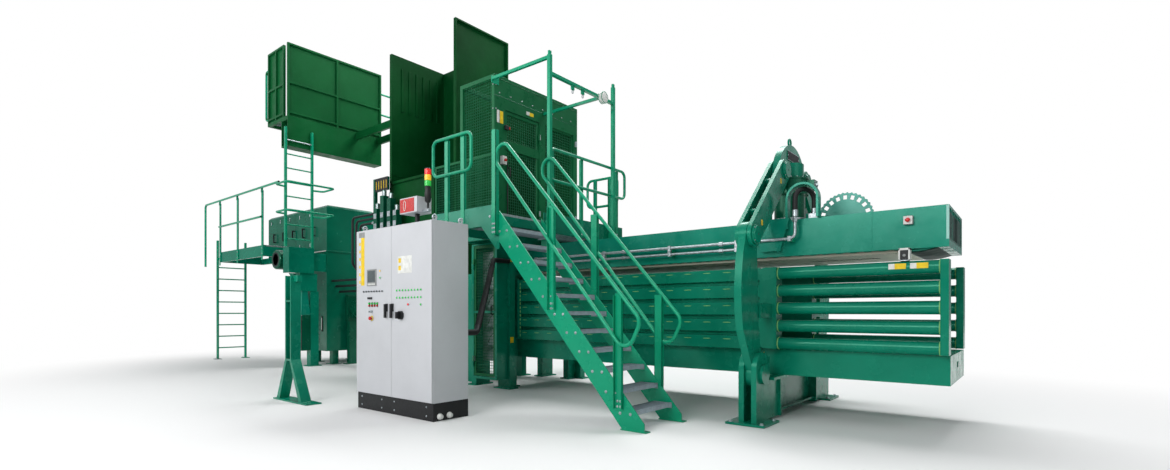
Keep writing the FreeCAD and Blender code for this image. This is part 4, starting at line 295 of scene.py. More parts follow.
def moulded(name, slot, rgb, rough=0.42, grain=220.0):
    """Moulded plastic or rubber with a fine skin."""
    skin, colour = Finish(name, slot), srgb(*rgb)
    tone = skin.clouds(skin.noise(18.0), toned(colour, 0.8), colour, 0.35, 0.65)
    skin.relief(skin.noise(grain, 2.0), 0.1, 0.0006)
    matt = skin.ramp(skin.noise(40.0), rough - 0.05, rough + 0.08, 0.3, 0.7)
    return skin.set(base_color=tone, roughness=matt, specular_ior_level=0.3)


def lit_lens(name, rgb, glow):
    """Translucent cap of a lamp, lit a little from inside."""
    lens, colour = Finish(name, "red_plastic"), srgb(*rgb)
    tone = lens.clouds(lens.noise(60.0), toned(colour, 0.7), colour)
    return lens.set(base_color=tone, roughness=0.18, emission_color=colour, emission_strength=glow)


def powder_coat(name, slot, rgb):
    """Light grey cabinet coat with its fine texture and faint hand marks."""
    coat, colour = Finish(name, slot), srgb(*rgb)
    tone = coat.clouds(coat.noise(1.4, 5.0), toned(colour, 0.9), colour)
    smudge = coat.ramp(coat.noise(6.0, 7.0, 0.7), 0.0, 0.16, 0.55, 0.8)
    tone = coat.blend(smudge, tone, toned(colour, 0.72))
    coat.relief(coat.noise(420.0, 2.0), 0.16, 0.0008)
    return coat.set(base_color=tone, roughness=coat.ramp(coat.noise(9.0), 0.36, 0.5, 0.3, 0.7))


GREEN = machine_paint("machine_green", "green_paint", (0, 119, 93), gloss=0.2, wear_and_highlight=0.3, shine=0.4)
LID_GREEN = machine_paint("press_lid_green", "lid_green", (6, 124, 102), gloss=0.2, cloud=0.2, dust=0.35, shine=0.5)
RAIL_GREEN = machine_paint("handrail_green", "rail_green", (8, 146, 108), gloss=0.2, cloud=0.12, shine=0.45)
DARK_GREEN = machine_paint("cylinder_green", "dark_green", (2, 78, 56), gloss=0.2, shine=0.45)
HOPPER_GREEN = machine_paint("hopper_green", "hopper_green", (3, 66, 28), gloss=0.4, cloud=0.3, streak=0.5,
                             shine=0.06)
CAGE_GREEN = machine_paint("cage_green", "green_paint", (12, 92, 54), gloss=0.3, cloud=0.2)
GALLERY_GREEN = machine_paint("gallery_green", "hopper_green", (8, 84, 42), gloss=0.35, cloud=0.25, streak=0.3,
                              shine=0.1)
TANK_GREEN = machine_paint("tank_green", "hopper_green", (0, 96, 72), gloss=0.16, shine=0.5)
# The wear plate as a lit and a shaded copy of one primer: the underside lightened against the shade beneath the lid
# (painted light), the side faces darkened (painted shade).
BELLY_LIGHTENED_PRIMER = machine_paint("wear_plate_primer_lightened", "galvanised", (240, 236, 220), gloss=0.5, cloud=0.06, dust=0.1,
                           wear_and_highlight=0.0)
BELLY_SIDE_DARKENED = machine_paint("wear_plate_side_darkened", "galvanised", (150, 148, 134), gloss=0.5, cloud=0.1, wear_and_highlight=0.0)
# Pale green-white standing in for the light on the lid end's rounded corner: a painted highlight.
PAINTED_HIGHLIGHT_GREEN = machine_paint("painted_corner_highlight", "lid_green", (150, 196, 186), gloss=0.3, wear_and_highlight=0.0)
# Near-black green for the lid toe's underside, darker than its paint: painted shade.
UNDERSIDE_PAINTED_SHADE = machine_paint("lid_underside_painted_shade", "lid_green", (0, 30, 24), gloss=0.45, wear_and_highlight=0.0)
ZINC = bare_metal("galvanised_steel", "galvanised", (182, 190, 194), 0.38, 0.35)
DULL_ZINC = moulded("weathered_zinc", "galvanised", (166, 178, 188), 0.45, 90.0)
WHEEL_GREEN = machine_paint("wheel_green", "green_paint", (64, 142, 128), gloss=0.22, dust=0.3, shine=0.5)
STEEL = bare_metal("turned_steel", "pin_steel", (150, 152, 152), 0.28)
WIRE = machine_paint("mesh_wire_green", "rail_green", (24, 104, 70), gloss=0.4, wear_and_highlight=0.0)
CABINET = powder_coat("cabinet_coat", "cabinet_grey", (192, 194, 198))
BLACK = moulded("black_plastic", "black_plastic", (24, 25, 27))
RUBBER = moulded("hose_rubber", "black_rubber", (22, 22, 23), 0.55, 140.0)
RED = moulded("stop_red", "red_plastic", (190, 24, 20), 0.3)
WHITE = moulded("white_plastic", "cabinet_grey", (225, 226, 222), 0.35)
YELLOW = moulded("sticker_yellow", "cabinet_grey", (236, 200, 20), 0.45)
GREY = moulded("grey_plastic", "cabinet_grey", (140, 143, 142), 0.45)
GREEN_LAMP = lit_lens("green_lens", (40, 190, 70), 0.25)
RED_LAMP = lit_lens("red_lens", (225, 30, 24), 0.35)
AMBER_LAMP = lit_lens("amber_lens", (240, 190, 40), 0.35)
PLATE_BLACK = moulded("black_plate", "black_plastic", (9, 10, 11), 0.5)
SCREEN = moulded("display_glass", "black_plastic", (88, 96, 98), 0.12)
LABEL_BLUE = moulded("pale_label", "cabinet_grey", (200, 208, 222), 0.4)
# Weld beads in a pale yellowish green: the welds' own shape, with the light they catch painted in as a highlight.
WELD_PALE_HIGHLIGHT = machine_paint("weld_beads_pale_highlight", "green_paint", (132, 190, 118), gloss=0.35, wear_and_highlight=0.0)
SHARP = math.radians(35)

# ---------------------------------------------------------------- geometry node trees

SOCKET_KINDS = {float: "Float", int: "Int"}


class Tree:
    """A geometry node tree with named inputs, wired by short calls."""

    def __init__(self, name, sizes):
        self.group = bpy.data.node_groups.new(name, "GeometryNodeTree")
        self.ids = {}
        self.socket("Geometry", "Geometry")
        for label, value in sizes.items():
            self.socket(label, SOCKET_KINDS[type(value)]).default_value = value
        self.socket("Material", "Material")
        self.group.interface.new_socket("Geometry", in_out="OUTPUT", socket_type="NodeSocketGeometry")
        self.given = self.group.nodes.new("NodeGroupInput").outputs
        self.result = self.group.nodes.new("NodeGroupOutput")

    def socket(self, label, kind):
        made = self.group.interface.new_socket(label, in_out="INPUT", socket_type="NodeSocket" + kind)
        self.ids[label] = made.identifier
        return made

    def add(self, kind, settings=None, inputs=None):
        """First output of a new geometry node."""
        return add_node(self.group, "GeometryNode" + kind, settings, inputs).outputs[0]

    def maths(self, operation, first, second):
        return add_node(self.group, "ShaderNodeMath", {"operation": operation}, {0: first, 1: second}).outputs[0]

    def vector(self, x=0.0, y=0.0, z=0.0):
        return add_node(self.group, "ShaderNodeCombineXYZ", None, {"X": x, "Y": y, "Z": z}).outputs[0]

    def spread(self, points, shape):
        return self.add("InstanceOnPoints", None, {"Points": points, "Instance": shape})

    def row(self):
        """Points along X, as many as Count and Step apart."""
        return self.add("MeshLine", {"mode": "OFFSET"}, {"Count": self.given["Count"],
                                                         "Offset": self.vector(self.given["Step"], 0, 0)})

    def joined(self, parts):
        made = self.group.nodes.new("GeometryNodeJoinGeometry")
        for part in parts:
            self.group.links.new(part, made.inputs[0])
        return made.outputs[0]

    def end(self, parts):
        real = self.add("RealizeInstances", None, {"Geometry": self.joined(parts)})
        paint = self.add("SetMaterial", None, {"Geometry": real, "Material": self.given["Material"]})
        self.group.links.new(paint, self.result.inputs[0])


def grown(tree, paint, sizes, path=None):
    """The tree's result as a plain mesh; path is the line of edges that it follows, if it follows one."""
    carrier = placed("carrier", path or bpy.data.meshes.new("carrier"))
    modifier = carrier.modifiers.new("grow", "NODES")
    modifier.node_group = tree.group
    for label, value in sizes.items():
        modifier[tree.ids[label]] = value
    modifier[tree.ids["Material"]] = paint
    view = bpy.context.evaluated_depsgraph_get()
    view.update()
    mesh = bpy.data.meshes.new_from_object(carrier.evaluated_get(view))
    bpy.data.objects.remove(carrier)
    return mesh


def line_tree():
    """Flat bars or wires side by side along X, and a second set across them along Z."""
    tree = Tree("bar_grid", {"Width": 1.0, "Height": 1.0, "Deep": 0.03, "Upright": 0.005, "Level": 0.005,
                             "Uprights": 10, "Levels": 10, "Level Deep": 0.01})
    given = tree.given
    sets = []
    for count, run, other, thick in (("Uprights", "Width", "Height", "Upright"),
                                     ("Levels", "Height", "Width", "Level")):
        gaps = tree.maths("SUBTRACT", given[count], 1.0)
        clear = tree.maths("SUBTRACT", given[run], given[thick])
        step = tree.maths("DIVIDE", clear, gaps)
        first = tree.maths("DIVIDE", given[thick], 2.0)
        middle = tree.maths("DIVIDE", given[other], 2.0)
        if count == "Uprights":
            start, offset = tree.vector(first, 0.0, middle), tree.vector(step, 0.0, 0.0)
            size = tree.vector(given[thick], given["Deep"], given[other])
        else:
            start, offset = tree.vector(middle, 0.0, first), tree.vector(0.0, 0.0, step)
            size = tree.vector(given[other], given["Level Deep"], given[thick])
        row = tree.add("MeshLine", {"mode": "OFFSET"}, {"Count": given[count], "Start Location": start,
                                                        "Offset": offset})
        sets.append(tree.spread(row, tree.add("MeshCube", None, {"Size": size})))
    tree.end(sets)
    return tree


def bolt_shape(tree):
    """Hexagon head on its washer, standing along +Z."""
    radius = tree.given["Head"]
    washer = tree.add("MeshCylinder", None, {"Vertices": 16, "Radius": tree.maths("MULTIPLY", radius, 1.5),
                                             "Depth": tree.maths("MULTIPLY", radius, 0.3)})
    head = tree.add("MeshCylinder", None, {"Vertices": 6, "Radius": radius,
                                           "Depth": tree.maths("MULTIPLY", radius, 0.75)})
    lift = tree.maths("MULTIPLY", radius, 0.5)
    return tree.joined((washer, tree.add("Transform", None,
                                         {"Geometry": head, "Translation": tree.vector(0, 0, lift)})))


def bolt_row_tree():
    """Bolt heads in a row along X."""
    tree = Tree("bolt_row", {"Count": 4, "Step": 0.1, "Head": 0.012})
    tree.end([tree.spread(tree.row(), bolt_shape(tree))])
    return tree


def bolt_ring_tree():
    """Bolt heads round a circle."""
    tree = Tree("bolt_ring", {"Count": 12, "Circle": 0.2, "Head": 0.012})
    ring = tree.add("MeshCircle", None, {"Vertices": tree.given["Count"], "Radius": tree.given["Circle"]})
    tree.end([tree.spread(ring, bolt_shape(tree))])
    return tree


def bead_row_tree():
    """Weld stitches in a row along X: short flattened beads."""
    tree = Tree("weld_stitches", {"Count": 8, "Step": 0.2, "Length": 0.06, "Thick": 0.004})
    given = tree.given
    bead = tree.add("MeshUVSphere", None, {"Segments": 8, "Rings": 6, "Radius": 1.0})
    half = tree.maths("DIVIDE", given["Length"], 2.0)
    flat = tree.add("Transform", None, {"Geometry": bead, "Scale": tree.vector(half, given["Thick"], given["Thick"])})
    tree.end([tree.spread(tree.row(), flat)])
    return tree


def tube_tree():
    """A round tube along a path of edges, with bent corners."""
    tree = Tree("bent_tube", {"Radius": 0.021, "Bend": 0.1, "Sides": 16})
    given = tree.given
    path = tree.add("MeshToCurve", None, {"Mesh": given["Geometry"]})
    bent = tree.add("FilletCurve", {"mode": "POLY"}, {"Curve": path, "Radius": given["Bend"], "Count": 7,
                                                      "Limit Radius": True})
    ring = tree.add("CurvePrimitiveCircle", None, {"Resolution": given["Sides"], "Radius": given["Radius"]})
    tree.end([tree.add("CurveToMesh", None, {"Curve": bent, "Profile Curve": ring, "Fill Caps": True})])
    return tree


GRID, BOLTS, BOLT_RING, STITCHES, TUBE = line_tree(), bolt_row_tree(), bolt_ring_tree(), bead_row_tree(), tube_tree()


# ---------------------------------------------------------------- pieces

def standing(origin, along=ALONG, up=UP):
    """Matrix that puts local X along one direction and local Z along another, at a point."""
    x = Vector(along).normalized()
    z = Vector(up).normalized()
    z = (z - x * z.dot(x)).normalized()
    y = z.cross(x)
    turn = Matrix((x, y, z)).transposed().to_4x4()
    return Matrix.Translation(Vector(origin)) @ turn


def about(middle, half):
    """The two ends of a span, given by its middle."""
    return middle - half, middle + half


def loop(centre, wide, tall, count, lengthways=True):
    """Points round an upright ellipse that lies along the machine or across it."""
    x, y, z = centre
    points = []
    for i in range(count):
        angle = 2 * math.pi * i / count
        side, rise = wide * math.cos(angle), tall * math.sin(angle)
        points.append((x + side, y, z + rise) if lengthways else (x, y + side, z + rise))
    return points


class Piece:
    """One mesh under construction: primitives and grown parts in the model's frame, in its own paint."""

    def __init__(self, name, body="machine", paint=None):
        self.name, self.body, self.paint = name, body, paint
        self.form = bmesh.new()
        self.paints = []

    def claim(self, before, paint):
        """Paints the faces made since there were as many as before."""
        paint = paint or self.paint
        if paint not in self.paints:
            self.paints.append(paint)
        index = self.paints.index(paint)
        for face in list(self.form.faces)[before:]:
            face.material_index = index

    def stitch(self, rings):
        """Faces between rings of points, closed at both ends."""
        rings = [[self.form.verts.new(spot) for spot in ring] for ring in rings]
        for low, high in zip(rings, rings[1:]):
            for i in range(len(low)):
                j = (i + 1) % len(low)
                self.form.faces.new((low[i], low[j], high[j], high[i]))
        self.form.faces.new(rings[0][::-1])
        self.form.faces.new(rings[-1])

    def mesh(self, mesh, paint, matrix=None):
        before, start = len(self.form.faces), len(self.form.verts)
        self.form.from_mesh(mesh)
        self.form.verts.ensure_lookup_table()
        if matrix is not None:
            bmesh.ops.transform(self.form, matrix=matrix, verts=list(self.form.verts)[start:])
        self.claim(before, paint)
        bpy.data.meshes.remove(mesh)

    def box(self, x, y, z, paint=None, matrix=None):
        before = len(self.form.faces)
        size = Vector((abs(x[1] - x[0]), abs(y[1] - y[0]), abs(z[1] - z[0])))
        centre = Vector((x[0] + x[1], y[0] + y[1], z[0] + z[1])) / 2
        place = Matrix.Translation(centre) @ Matrix.Diagonal(size).to_4x4()
        bmesh.ops.create_cube(self.form, size=1.0, matrix=(matrix or Matrix.Identity(4)) @ place)
        self.claim(before, paint)

    def rod(self, start, end, radius, paint=None, sides=24):
        before = len(self.form.faces)
        a, b = Vector(start), Vector(end)
        turn = (b - a).to_track_quat("Z", "Y").to_matrix().to_4x4()
        bmesh.ops.create_cone(self.form, cap_ends=True, segments=sides, radius1=radius, radius2=radius,
                              depth=(b - a).length, matrix=Matrix.Translation((a + b) / 2) @ turn)
        self.claim(before, paint)

    def turned(self, profile, at, axis, paint=None, sides=32):
        """A form turned round an axis: profile pairs are (along, radius), closed at both ends."""
        before = len(self.form.faces)
        turn = Vector(axis).normalized().to_track_quat("Z", "Y").to_matrix().to_4x4()
        place = Matrix.Translation(Vector(at)) @ turn
        angles = [2 * math.pi * i / sides for i in range(sides)]
        self.stitch([[place @ Vector((radius * math.cos(angle), radius * math.sin(angle), along)) for angle in angles]
                     for along, radius in profile])
        self.claim(before, paint)

    def sheet(self, outline, low, high, paint=None, axis="y"):
        """A closed outline pulled between two values of one axis; outline pairs are the other two axes in order."""
        before = len(self.form.faces)
        self.stitch([[(level, u, v) if axis == "x" else (u, level, v) for u, v in outline] for level in (low, high)])
        bmesh.ops.recalc_face_normals(self.form, faces=list(self.form.faces)[before:])
        self.claim(before, paint)

    def tube(self, points, radius, paint, bend=0.1, closed=False, sides=16):
        path = bpy.data.meshes.new("path")
        last = len(points) - 1
        edges = [(i, i + 1) for i in range(last)] + ([(last, 0)] if closed else [])
        path.from_pydata([tuple(p) for p in points], edges, [])
        self.mesh(grown(TUBE, paint, {"Radius": radius, "Bend": bend, "Sides": sides}, path), paint)

    def grid(self, matrix, width, height, pitch, paint, wire, deep):
        """Bars at about the given pitches over a rectangle whose local X is along and local Z up."""
        sizes = {"Width": width, "Height": height, "Deep": deep[0], "Level Deep": deep[1], "Upright": wire[0],
                 "Level": wire[1], "Uprights": max(2, round(width / pitch[0]) + 1),
                 "Levels": max(2, round(height / pitch[1]) + 1)}
        self.mesh(grown(GRID, paint, sizes), paint, matrix)

    def bolts(self, origin, along, out, count, step, head, paint=ZINC):
        mesh = grown(BOLTS, paint, {"Count": count, "Step": step, "Head": head})
        self.mesh(mesh, paint, standing(origin, along, out))

    def bolt_ring(self, centre, out, count, circle, head):
        mesh = grown(BOLT_RING, ZINC, {"Count": count, "Circle": circle, "Head": head})
        self.mesh(mesh, ZINC, standing(centre, Vector(out).orthogonal(), out))

    def welds(self, origin, along, out, count, step, length, thick, paint):
        mesh = grown(STITCHES, paint, {"Count": count, "Step": step, "Length": length, "Thick": thick})
        self.mesh(mesh, paint, standing(origin, along, out))

    def done(self, *replaces, bevel=0.0):
        """Puts the piece in the scene, with its body, its paint slot and the nodes that it stands for."""
        for face in self.form.faces:
            face.smooth = True
        mesh = bpy.data.meshes.new(self.name)
        self.form.to_mesh(mesh)
        self.form.free()
        for paint in self.paints:
            mesh.materials.append(paint)
        mesh.set_sharp_from_angle(angle=SHARP)
        piece = placed(self.name, mesh)
        if bevel:
            soften(piece, bevel)
        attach(piece, self.body)
        if replaces:
            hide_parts(*replaces)


def soften(piece, width):
    """Small rounded edges on plate and box work."""
    edge = piece.modifiers.new("edges", "BEVEL")
    edge.width = width
    edge.segments = 2
    edge.limit_method = "ANGLE"
    edge.angle_limit = math.radians(38)
    edge.use_clamp_overlap = True
    edge.harden_normals = True


def paint_node(node, paint):
    """A better finish on a CAD node that keeps its own form."""
    for slot in NODES[node].material_slots:
        slot.link = "OBJECT"
        slot.material = paint


NODE_PAINT = (
    (GREEN, ("yoke_stand", "base_beam", "press_chamber", "tying_frame", "needle_carriage", "side_wall_near",
             "side_wall_far", "yoke_arm_near", "yoke_arm_far", "yoke_links_near", "yoke_links_far", "squeeze_head",
             "yoke_lower_pins", "platform_frame", "service_deck", "cable_stand",
             "drive_box", "press_ram", "wheel_arm")),
    (LID_GREEN, ("press_lid",)),
    (DARK_GREEN, ("main_cylinder", "squeeze_barrel", "valve_stack")),
    (HOPPER_GREEN, ("hopper_side_walls", "hopper_front_panel", "hopper_rear_panel")),
    (CAGE_GREEN, ("guard_cage",)),
    (GALLERY_GREEN, ("gallery",)),
    (TANK_GREEN, ("oil_tank", "pump_enclosure")),
    (RAIL_GREEN, ("stair_stringers", "lamp_gallows")),
    (ZINC, ("wire_tensioners",)),
    (WHEEL_GREEN, ("measuring_wheel",)),
    (STEEL, ("squeeze_rod",)),
    (CABINET, ("cabinet_shell",)),
    (BLACK, ("handle_left", "handle_right", "main_switch")),
)

# ---------------------------------------------------------------- channel walls and outlet cage

WALL_FACE = 0.72
STOP_WIDTH = 0.08
BAND_Z = tuple(1.6335 - 0.198 * i for i in range(5))


def wall_welds(side, body):
    """Stitch welds along the wall's bands, beads round the cage tubes and up the wall's end plate."""
    work = Piece("wall_welds_" + body, body)
    # The beads take the pale weld colour, a painted highlight.
    for z in BAND_Z:
        work.welds((-3.88, side * (WALL_FACE + 0.0005), z + 0.033), ALONG, (0, side, 0), 15, 0.26, 0.11, 0.005, WELD_PALE_HIGHLIGHT)
    for z in BAND_Z:
        for x in (0.1, 1.661):
            work.turned(((0.0, 0.066), (0.003, 0.071), (0.009, 0.072), (0.014, 0.066)),
                        (x, side * (WALL_FACE - 0.0665), z), ALONG, WELD_PALE_HIGHLIGHT, 24)
    work.welds((-3.978, side * (WALL_FACE + 0.001), 0.83), UP, (0, side, 0), 14, 0.062, 0.046, 0.008, WELD_PALE_HIGHLIGHT)
    return work.done()


def cage_labels():
    """Blank label pairs on the near cage's top tube and the switch box beside them."""
    y = -WALL_FACE
    work = Piece("cage_labels", "wall_near")
    for start in (1.23, 1.42):
        work.box((start, start + 0.055), (y - 0.0012, y + 0.01), (1.62, 1.675), WHITE)
        work.box((start + 0.055, start + 0.155), (y - 0.0012, y + 0.01), (1.62, 1.675), YELLOW)
    work.done()
    box = Piece("switch_box", "wall_near", WHITE)
    for low, high in ((1.317, 1.331), (1.403, 1.417)):
        box.box((low, high), (-0.715, -0.62), (1.712, 1.828))
    box.box((1.317, 1.417), (-0.715, -0.62), (1.806, 1.828))
    box.box((1.333, 1.401), (-0.708, -0.625), (1.712, 1.804), BLACK)
    box.box((1.327, 1.407), (-0.7, -0.63), (1.7, 1.712), ZINC)
    box.rod((1.367, -0.712, 1.755), (1.367, -0.706, 1.755), 0.014, GREY, 16)
    box.done("outlet_switch_box", bevel=0.0025)


def stop_housing(name, place, lengthways, height, body):
    """Box round an emergency stop, facing +X or the near side: four sides and a front plate with a round rim."""
    x, y, z = place
    deep, wall, half, tall, rim = 0.055, 0.0015, STOP_WIDTH / 2, height / 2, 0.014
    work = Piece(name, body)

    def panel(side, out, rise, paint):
        """A plate by its sideways, outward and upward spans."""
        rise = (z + rise[0], z + rise[1])
        if lengthways:
            work.box((x + out[0], x + out[1]), (y + side[0], y + side[1]), rise, paint)
        else:
            work.box((x + side[0], x + side[1]), (y - out[0], y - out[1]), rise, paint)

    for edge in (-half, half):
        panel(about(edge, wall), (0.0, deep), (-tall, tall), GREY)
    for edge in (-tall, tall):
        panel((-half, half), (0.0, deep), about(edge, wall), GREY)
    for low, high in ((-half, -rim), (rim, half)):
        panel((low, high), (deep, deep + wall), (-tall, tall), WHITE)
    for low, high in ((-tall, -rim), (rim, tall)):
        panel((-rim, rim), (deep, deep + wall), (low, high), WHITE)
    work.done(bevel=0.0008)
    return ((x + deep, y, z), ALONG) if lengthways else ((x, y - deep, z), NEAR)


def stop_cap(name, node, base, axis, body):
    """Red mushroom button on its stem."""
    work = Piece(name, body)
    work.turned(((-0.002, 0.0098), (0.014, 0.0098), (0.0142, 0.019), (0.018, 0.0225), (0.024, 0.0225),
                 (0.0285, 0.019), (0.03, 0.012)), base, axis, RED, 28)
    work.done(node)


def stop_boxes():
    base, axis = stop_housing("stop_housing_lid", (1.387, -0.573, 2.113), False, 0.08, "lid")
    stop_cap("stop_cap_lid", "stop_button_lid", base, axis, "lid_stop_button")
    base, axis = stop_housing("stop_housing_cage", (-3.74, -1.325, 3.416), True, 0.12, "machine")
    stop_cap("stop_cap_cage", "stop_button_cage", base, axis, "cage_stop_button")


# ---------------------------------------------------------------- press lid

LID_HALF = 0.573
LID_TOP = 2.24
PIPE_Y = -0.673
PIPE_R = 0.017
PIPE_UPPER_Z, PIPE_LOWER_Z = 2.015, 1.935
HOSE_X = 0.29
WHEEL_SLOT, WHEEL_SLOT_HALF = (0.244, 1.014), 0.036


def lid_skin():
    """Wear plate in four parts round the wheel's slot, lightened underneath and darkened on its side faces as painted
    light and shade; the toe's underside as a near-black sheet of painted shade, and the comb; a pale strip of painted
    highlight on the flank's end; and the flank's seams.
    """
    plate = Piece("belly_cover", "lid", BELLY_LIGHTENED_PRIMER)
    end = [(1.37, 1.7995), (1.385, 1.8035), (1.385, 1.8295)]
    for low, high in ((-0.531, -WHEEL_SLOT_HALF), (WHEEL_SLOT_HALF, 0.531)):
        plate.sheet([(-3.96, 1.7995)] + end + [(-3.96, 1.8295)], low, high)
    # Side faces of the wear plate in the darkened copy of its primer: painted shade.
    for y in (-0.5325, 0.5295):
        plate.box((-3.96, 1.386), (y, y + 0.003), (1.7992, 1.8292), BELLY_SIDE_DARKENED)
    plate.box((-3.96, WHEEL_SLOT[0]), (-WHEEL_SLOT_HALF, WHEEL_SLOT_HALF), (1.7995, 1.8295))
    plate.sheet([(WHEEL_SLOT[1], 1.7995)] + end + [(WHEEL_SLOT[1], 1.8295)], -WHEEL_SLOT_HALF, WHEEL_SLOT_HALF)
    plate.done()
    # The toe's underside as a near-black sheet of painted shade under the sloped nose.
    toe = Piece("toe_cover", "lid")
    under, inside = [], []
    for i in range(13):
        run = 0.311 * i / 12
        z = 1.796 - 0.0501 * run + 0.7859 * run * run
        under.append((1.4 + run, z))
        inside.append((1.4 + run, z + 0.012))
    under[0], inside[0] = (1.386, 1.7965), (1.386, 1.8085)
    toe.sheet(under + inside[::-1], -0.5335, 0.5335, UNDERSIDE_PAINTED_SHADE)
    toe.done()
    # A pale strip down the flank's end corner is a painted highlight; the comb strips reuse the near-black
    # painted-shade colour.
    strip = Piece("flank_end_strip", "lid")
    strip.box((1.706, 1.7305), (-0.5742, -0.556), (1.905, 2.236), PAINTED_HIGHLIGHT_GREEN)
    for i in range(9):
        y = -0.5 + i * 0.115
        strip.box((1.7285, 1.7304), (y, y + 0.06), (1.9, 2.17), UNDERSIDE_PAINTED_SHADE)
    strip.done()
    seam = Piece("lid_seams", "lid")
    for side in (-1, 1):
        seam.welds((-3.9, side * (LID_HALF - 0.04), 1.829), ALONG, (0, 0, -1), 40, 0.14, 0.08, 0.005, LID_GREEN)
    for x in (-2.8, -1.65, -0.5, 1.05):
        seam.box(about(x, 0.0025), (-LID_HALF - 0.0015, -LID_HALF + 0.01), (1.835, LID_TOP - 0.005), LID_GREEN)
    seam.done()


def lid_pipework():
    """Two bright pipes along the lid with clamps, unions and the riser to the hose."""
    work = Piece("lid_pipe_run", "lid")
    work.tube([(-3.7, PIPE_Y, PIPE_UPPER_Z), (HOSE_X, PIPE_Y, PIPE_UPPER_Z), (HOSE_X, PIPE_Y, 2.262)], PIPE_R,
              ZINC, 0.07)
    work.tube([(-3.7, PIPE_Y, PIPE_LOWER_Z), (-0.33, PIPE_Y, PIPE_LOWER_Z)], PIPE_R, ZINC, 0.05)
    for x in (-3.7, -2.05, -0.62):
        for z in (PIPE_UPPER_Z, PIPE_LOWER_Z):
            work.rod((x, PIPE_Y, z), (x + 0.05, PIPE_Y, z), 0.027, ZINC, 6)
    work.rod((HOSE_X, PIPE_Y, 2.2), (HOSE_X, PIPE_Y, 2.235), 0.029, ZINC, 6)
    work.done("lid_pipes")
    clamps = Piece("lid_pipe_clamps", "lid", RAIL_GREEN)
    for x, low in ((-3.3, PIPE_LOWER_Z), (-2.38, PIPE_LOWER_Z), (-1.33, PIPE_LOWER_Z), (-0.42, PIPE_LOWER_Z),
                   (HOSE_X - 0.085, PIPE_UPPER_Z)):
        clamps.box((x, x + 0.05), (-0.653, -LID_HALF), (low - 0.03, PIPE_UPPER_Z + 0.03))
        clamps.box((x + 0.006, x + 0.044), (-0.697, -0.651), (low - 0.028, PIPE_UPPER_Z + 0.028), ZINC)
        if low == PIPE_LOWER_Z:
            clamps.bolts((x + 0.025, -0.697, (PIPE_LOWER_Z + PIPE_UPPER_Z) / 2), ALONG, NEAR, 1, 0.1, 0.009)
    clamps.done(bevel=0.003)


def lid_hose():
    """Thick hose from the riser to its fitting on the lid, with crimped ends, and the manifold's plugs."""
    top = 2.57
    x1, y1 = HOSE_X + 0.145, -0.463
    work = Piece("lid_hose_run", "lid")
    work.tube([(HOSE_X, PIPE_Y, 2.262), (HOSE_X, PIPE_Y, top), (x1, y1, top), (x1, y1, 2.3)], 0.028, RUBBER, 0.12)
    work.rod((HOSE_X, PIPE_Y, 2.255), (HOSE_X, PIPE_Y, 2.33), 0.032, ZINC, 20)
    work.rod((x1, y1, 2.298), (x1, y1, 2.36), 0.032, ZINC, 20)
    work.box(about(x1, 0.05), about(y1, 0.045), (LID_TOP, 2.3), DARK_GREEN)
    for y in about(y1, 0.032):
        work.bolts((x1 - 0.034, y, 2.3), ALONG, UP, 2, 0.068, 0.007)
    work.done("lid_hoses")
    block = Piece("manifold_details", "lid")
    for i in range(3):
        x = -0.34 + 0.075 * i
        block.rod((x, -0.421, 2.37), (x, -0.475, 2.37), 0.026, BLACK, 20)
        block.rod((x, -0.421, 2.29), (x, -0.45, 2.29), 0.018, ZINC, 6)
    block.box((-0.381, -0.149), (-0.421, -0.179), (2.4, 2.451), BLACK)
    block.done(bevel=0.002)


# ---------------------------------------------------------------- squeeze yoke

LINK_FACE_X = 0.0858
UPPER_PIN = (1.29, 2.01)
LOWER_PIN = (1.12, 0.525)
HEAD_PIN = (0.38, 2.86)


def ringed_cap(work, at, radius):
    """Turned pin cap with two rings, a small grease nipple and its keeper screws."""
    rings = ((0.0, 1.0), (0.016, 1.0), (0.02, 0.94), (0.02, 0.8), (0.027, 0.78), (0.031, 0.7), (0.031, 0.56),
             (0.025, 0.53), (0.025, 0.3), (0.029, 0.27), (0.029, 0.16))
    work.turned([(along, radius * share) for along, share in rings], at, ALONG, GREEN, 40)
    x, y, z = at
    work.bolt_ring((x + 0.0195, y, z), ALONG, 4, radius * 0.87, 0.006)
    work.rod((x + 0.028, y, z), (x + 0.034, y, z), radius * 0.09, BLACK, 12)


def pin_caps():
    """Ringed caps on the yoke's pins."""
    for side, tag in ((-1, "near"), (1, "far")):
        for name, body, x, pin, radius in (("arm", "arm_" + tag, 0.0866, UPPER_PIN, 0.105),
                                           ("foot", "machine", 0.0988, LOWER_PIN, 0.1055),
                                           ("head", "head", 0.0866, HEAD_PIN, 0.105)):
            cap = Piece(name + "_pin_cap_" + tag, body)
            ringed_cap(cap, (x, side * pin[0], pin[1]), radius)
            cap.done()


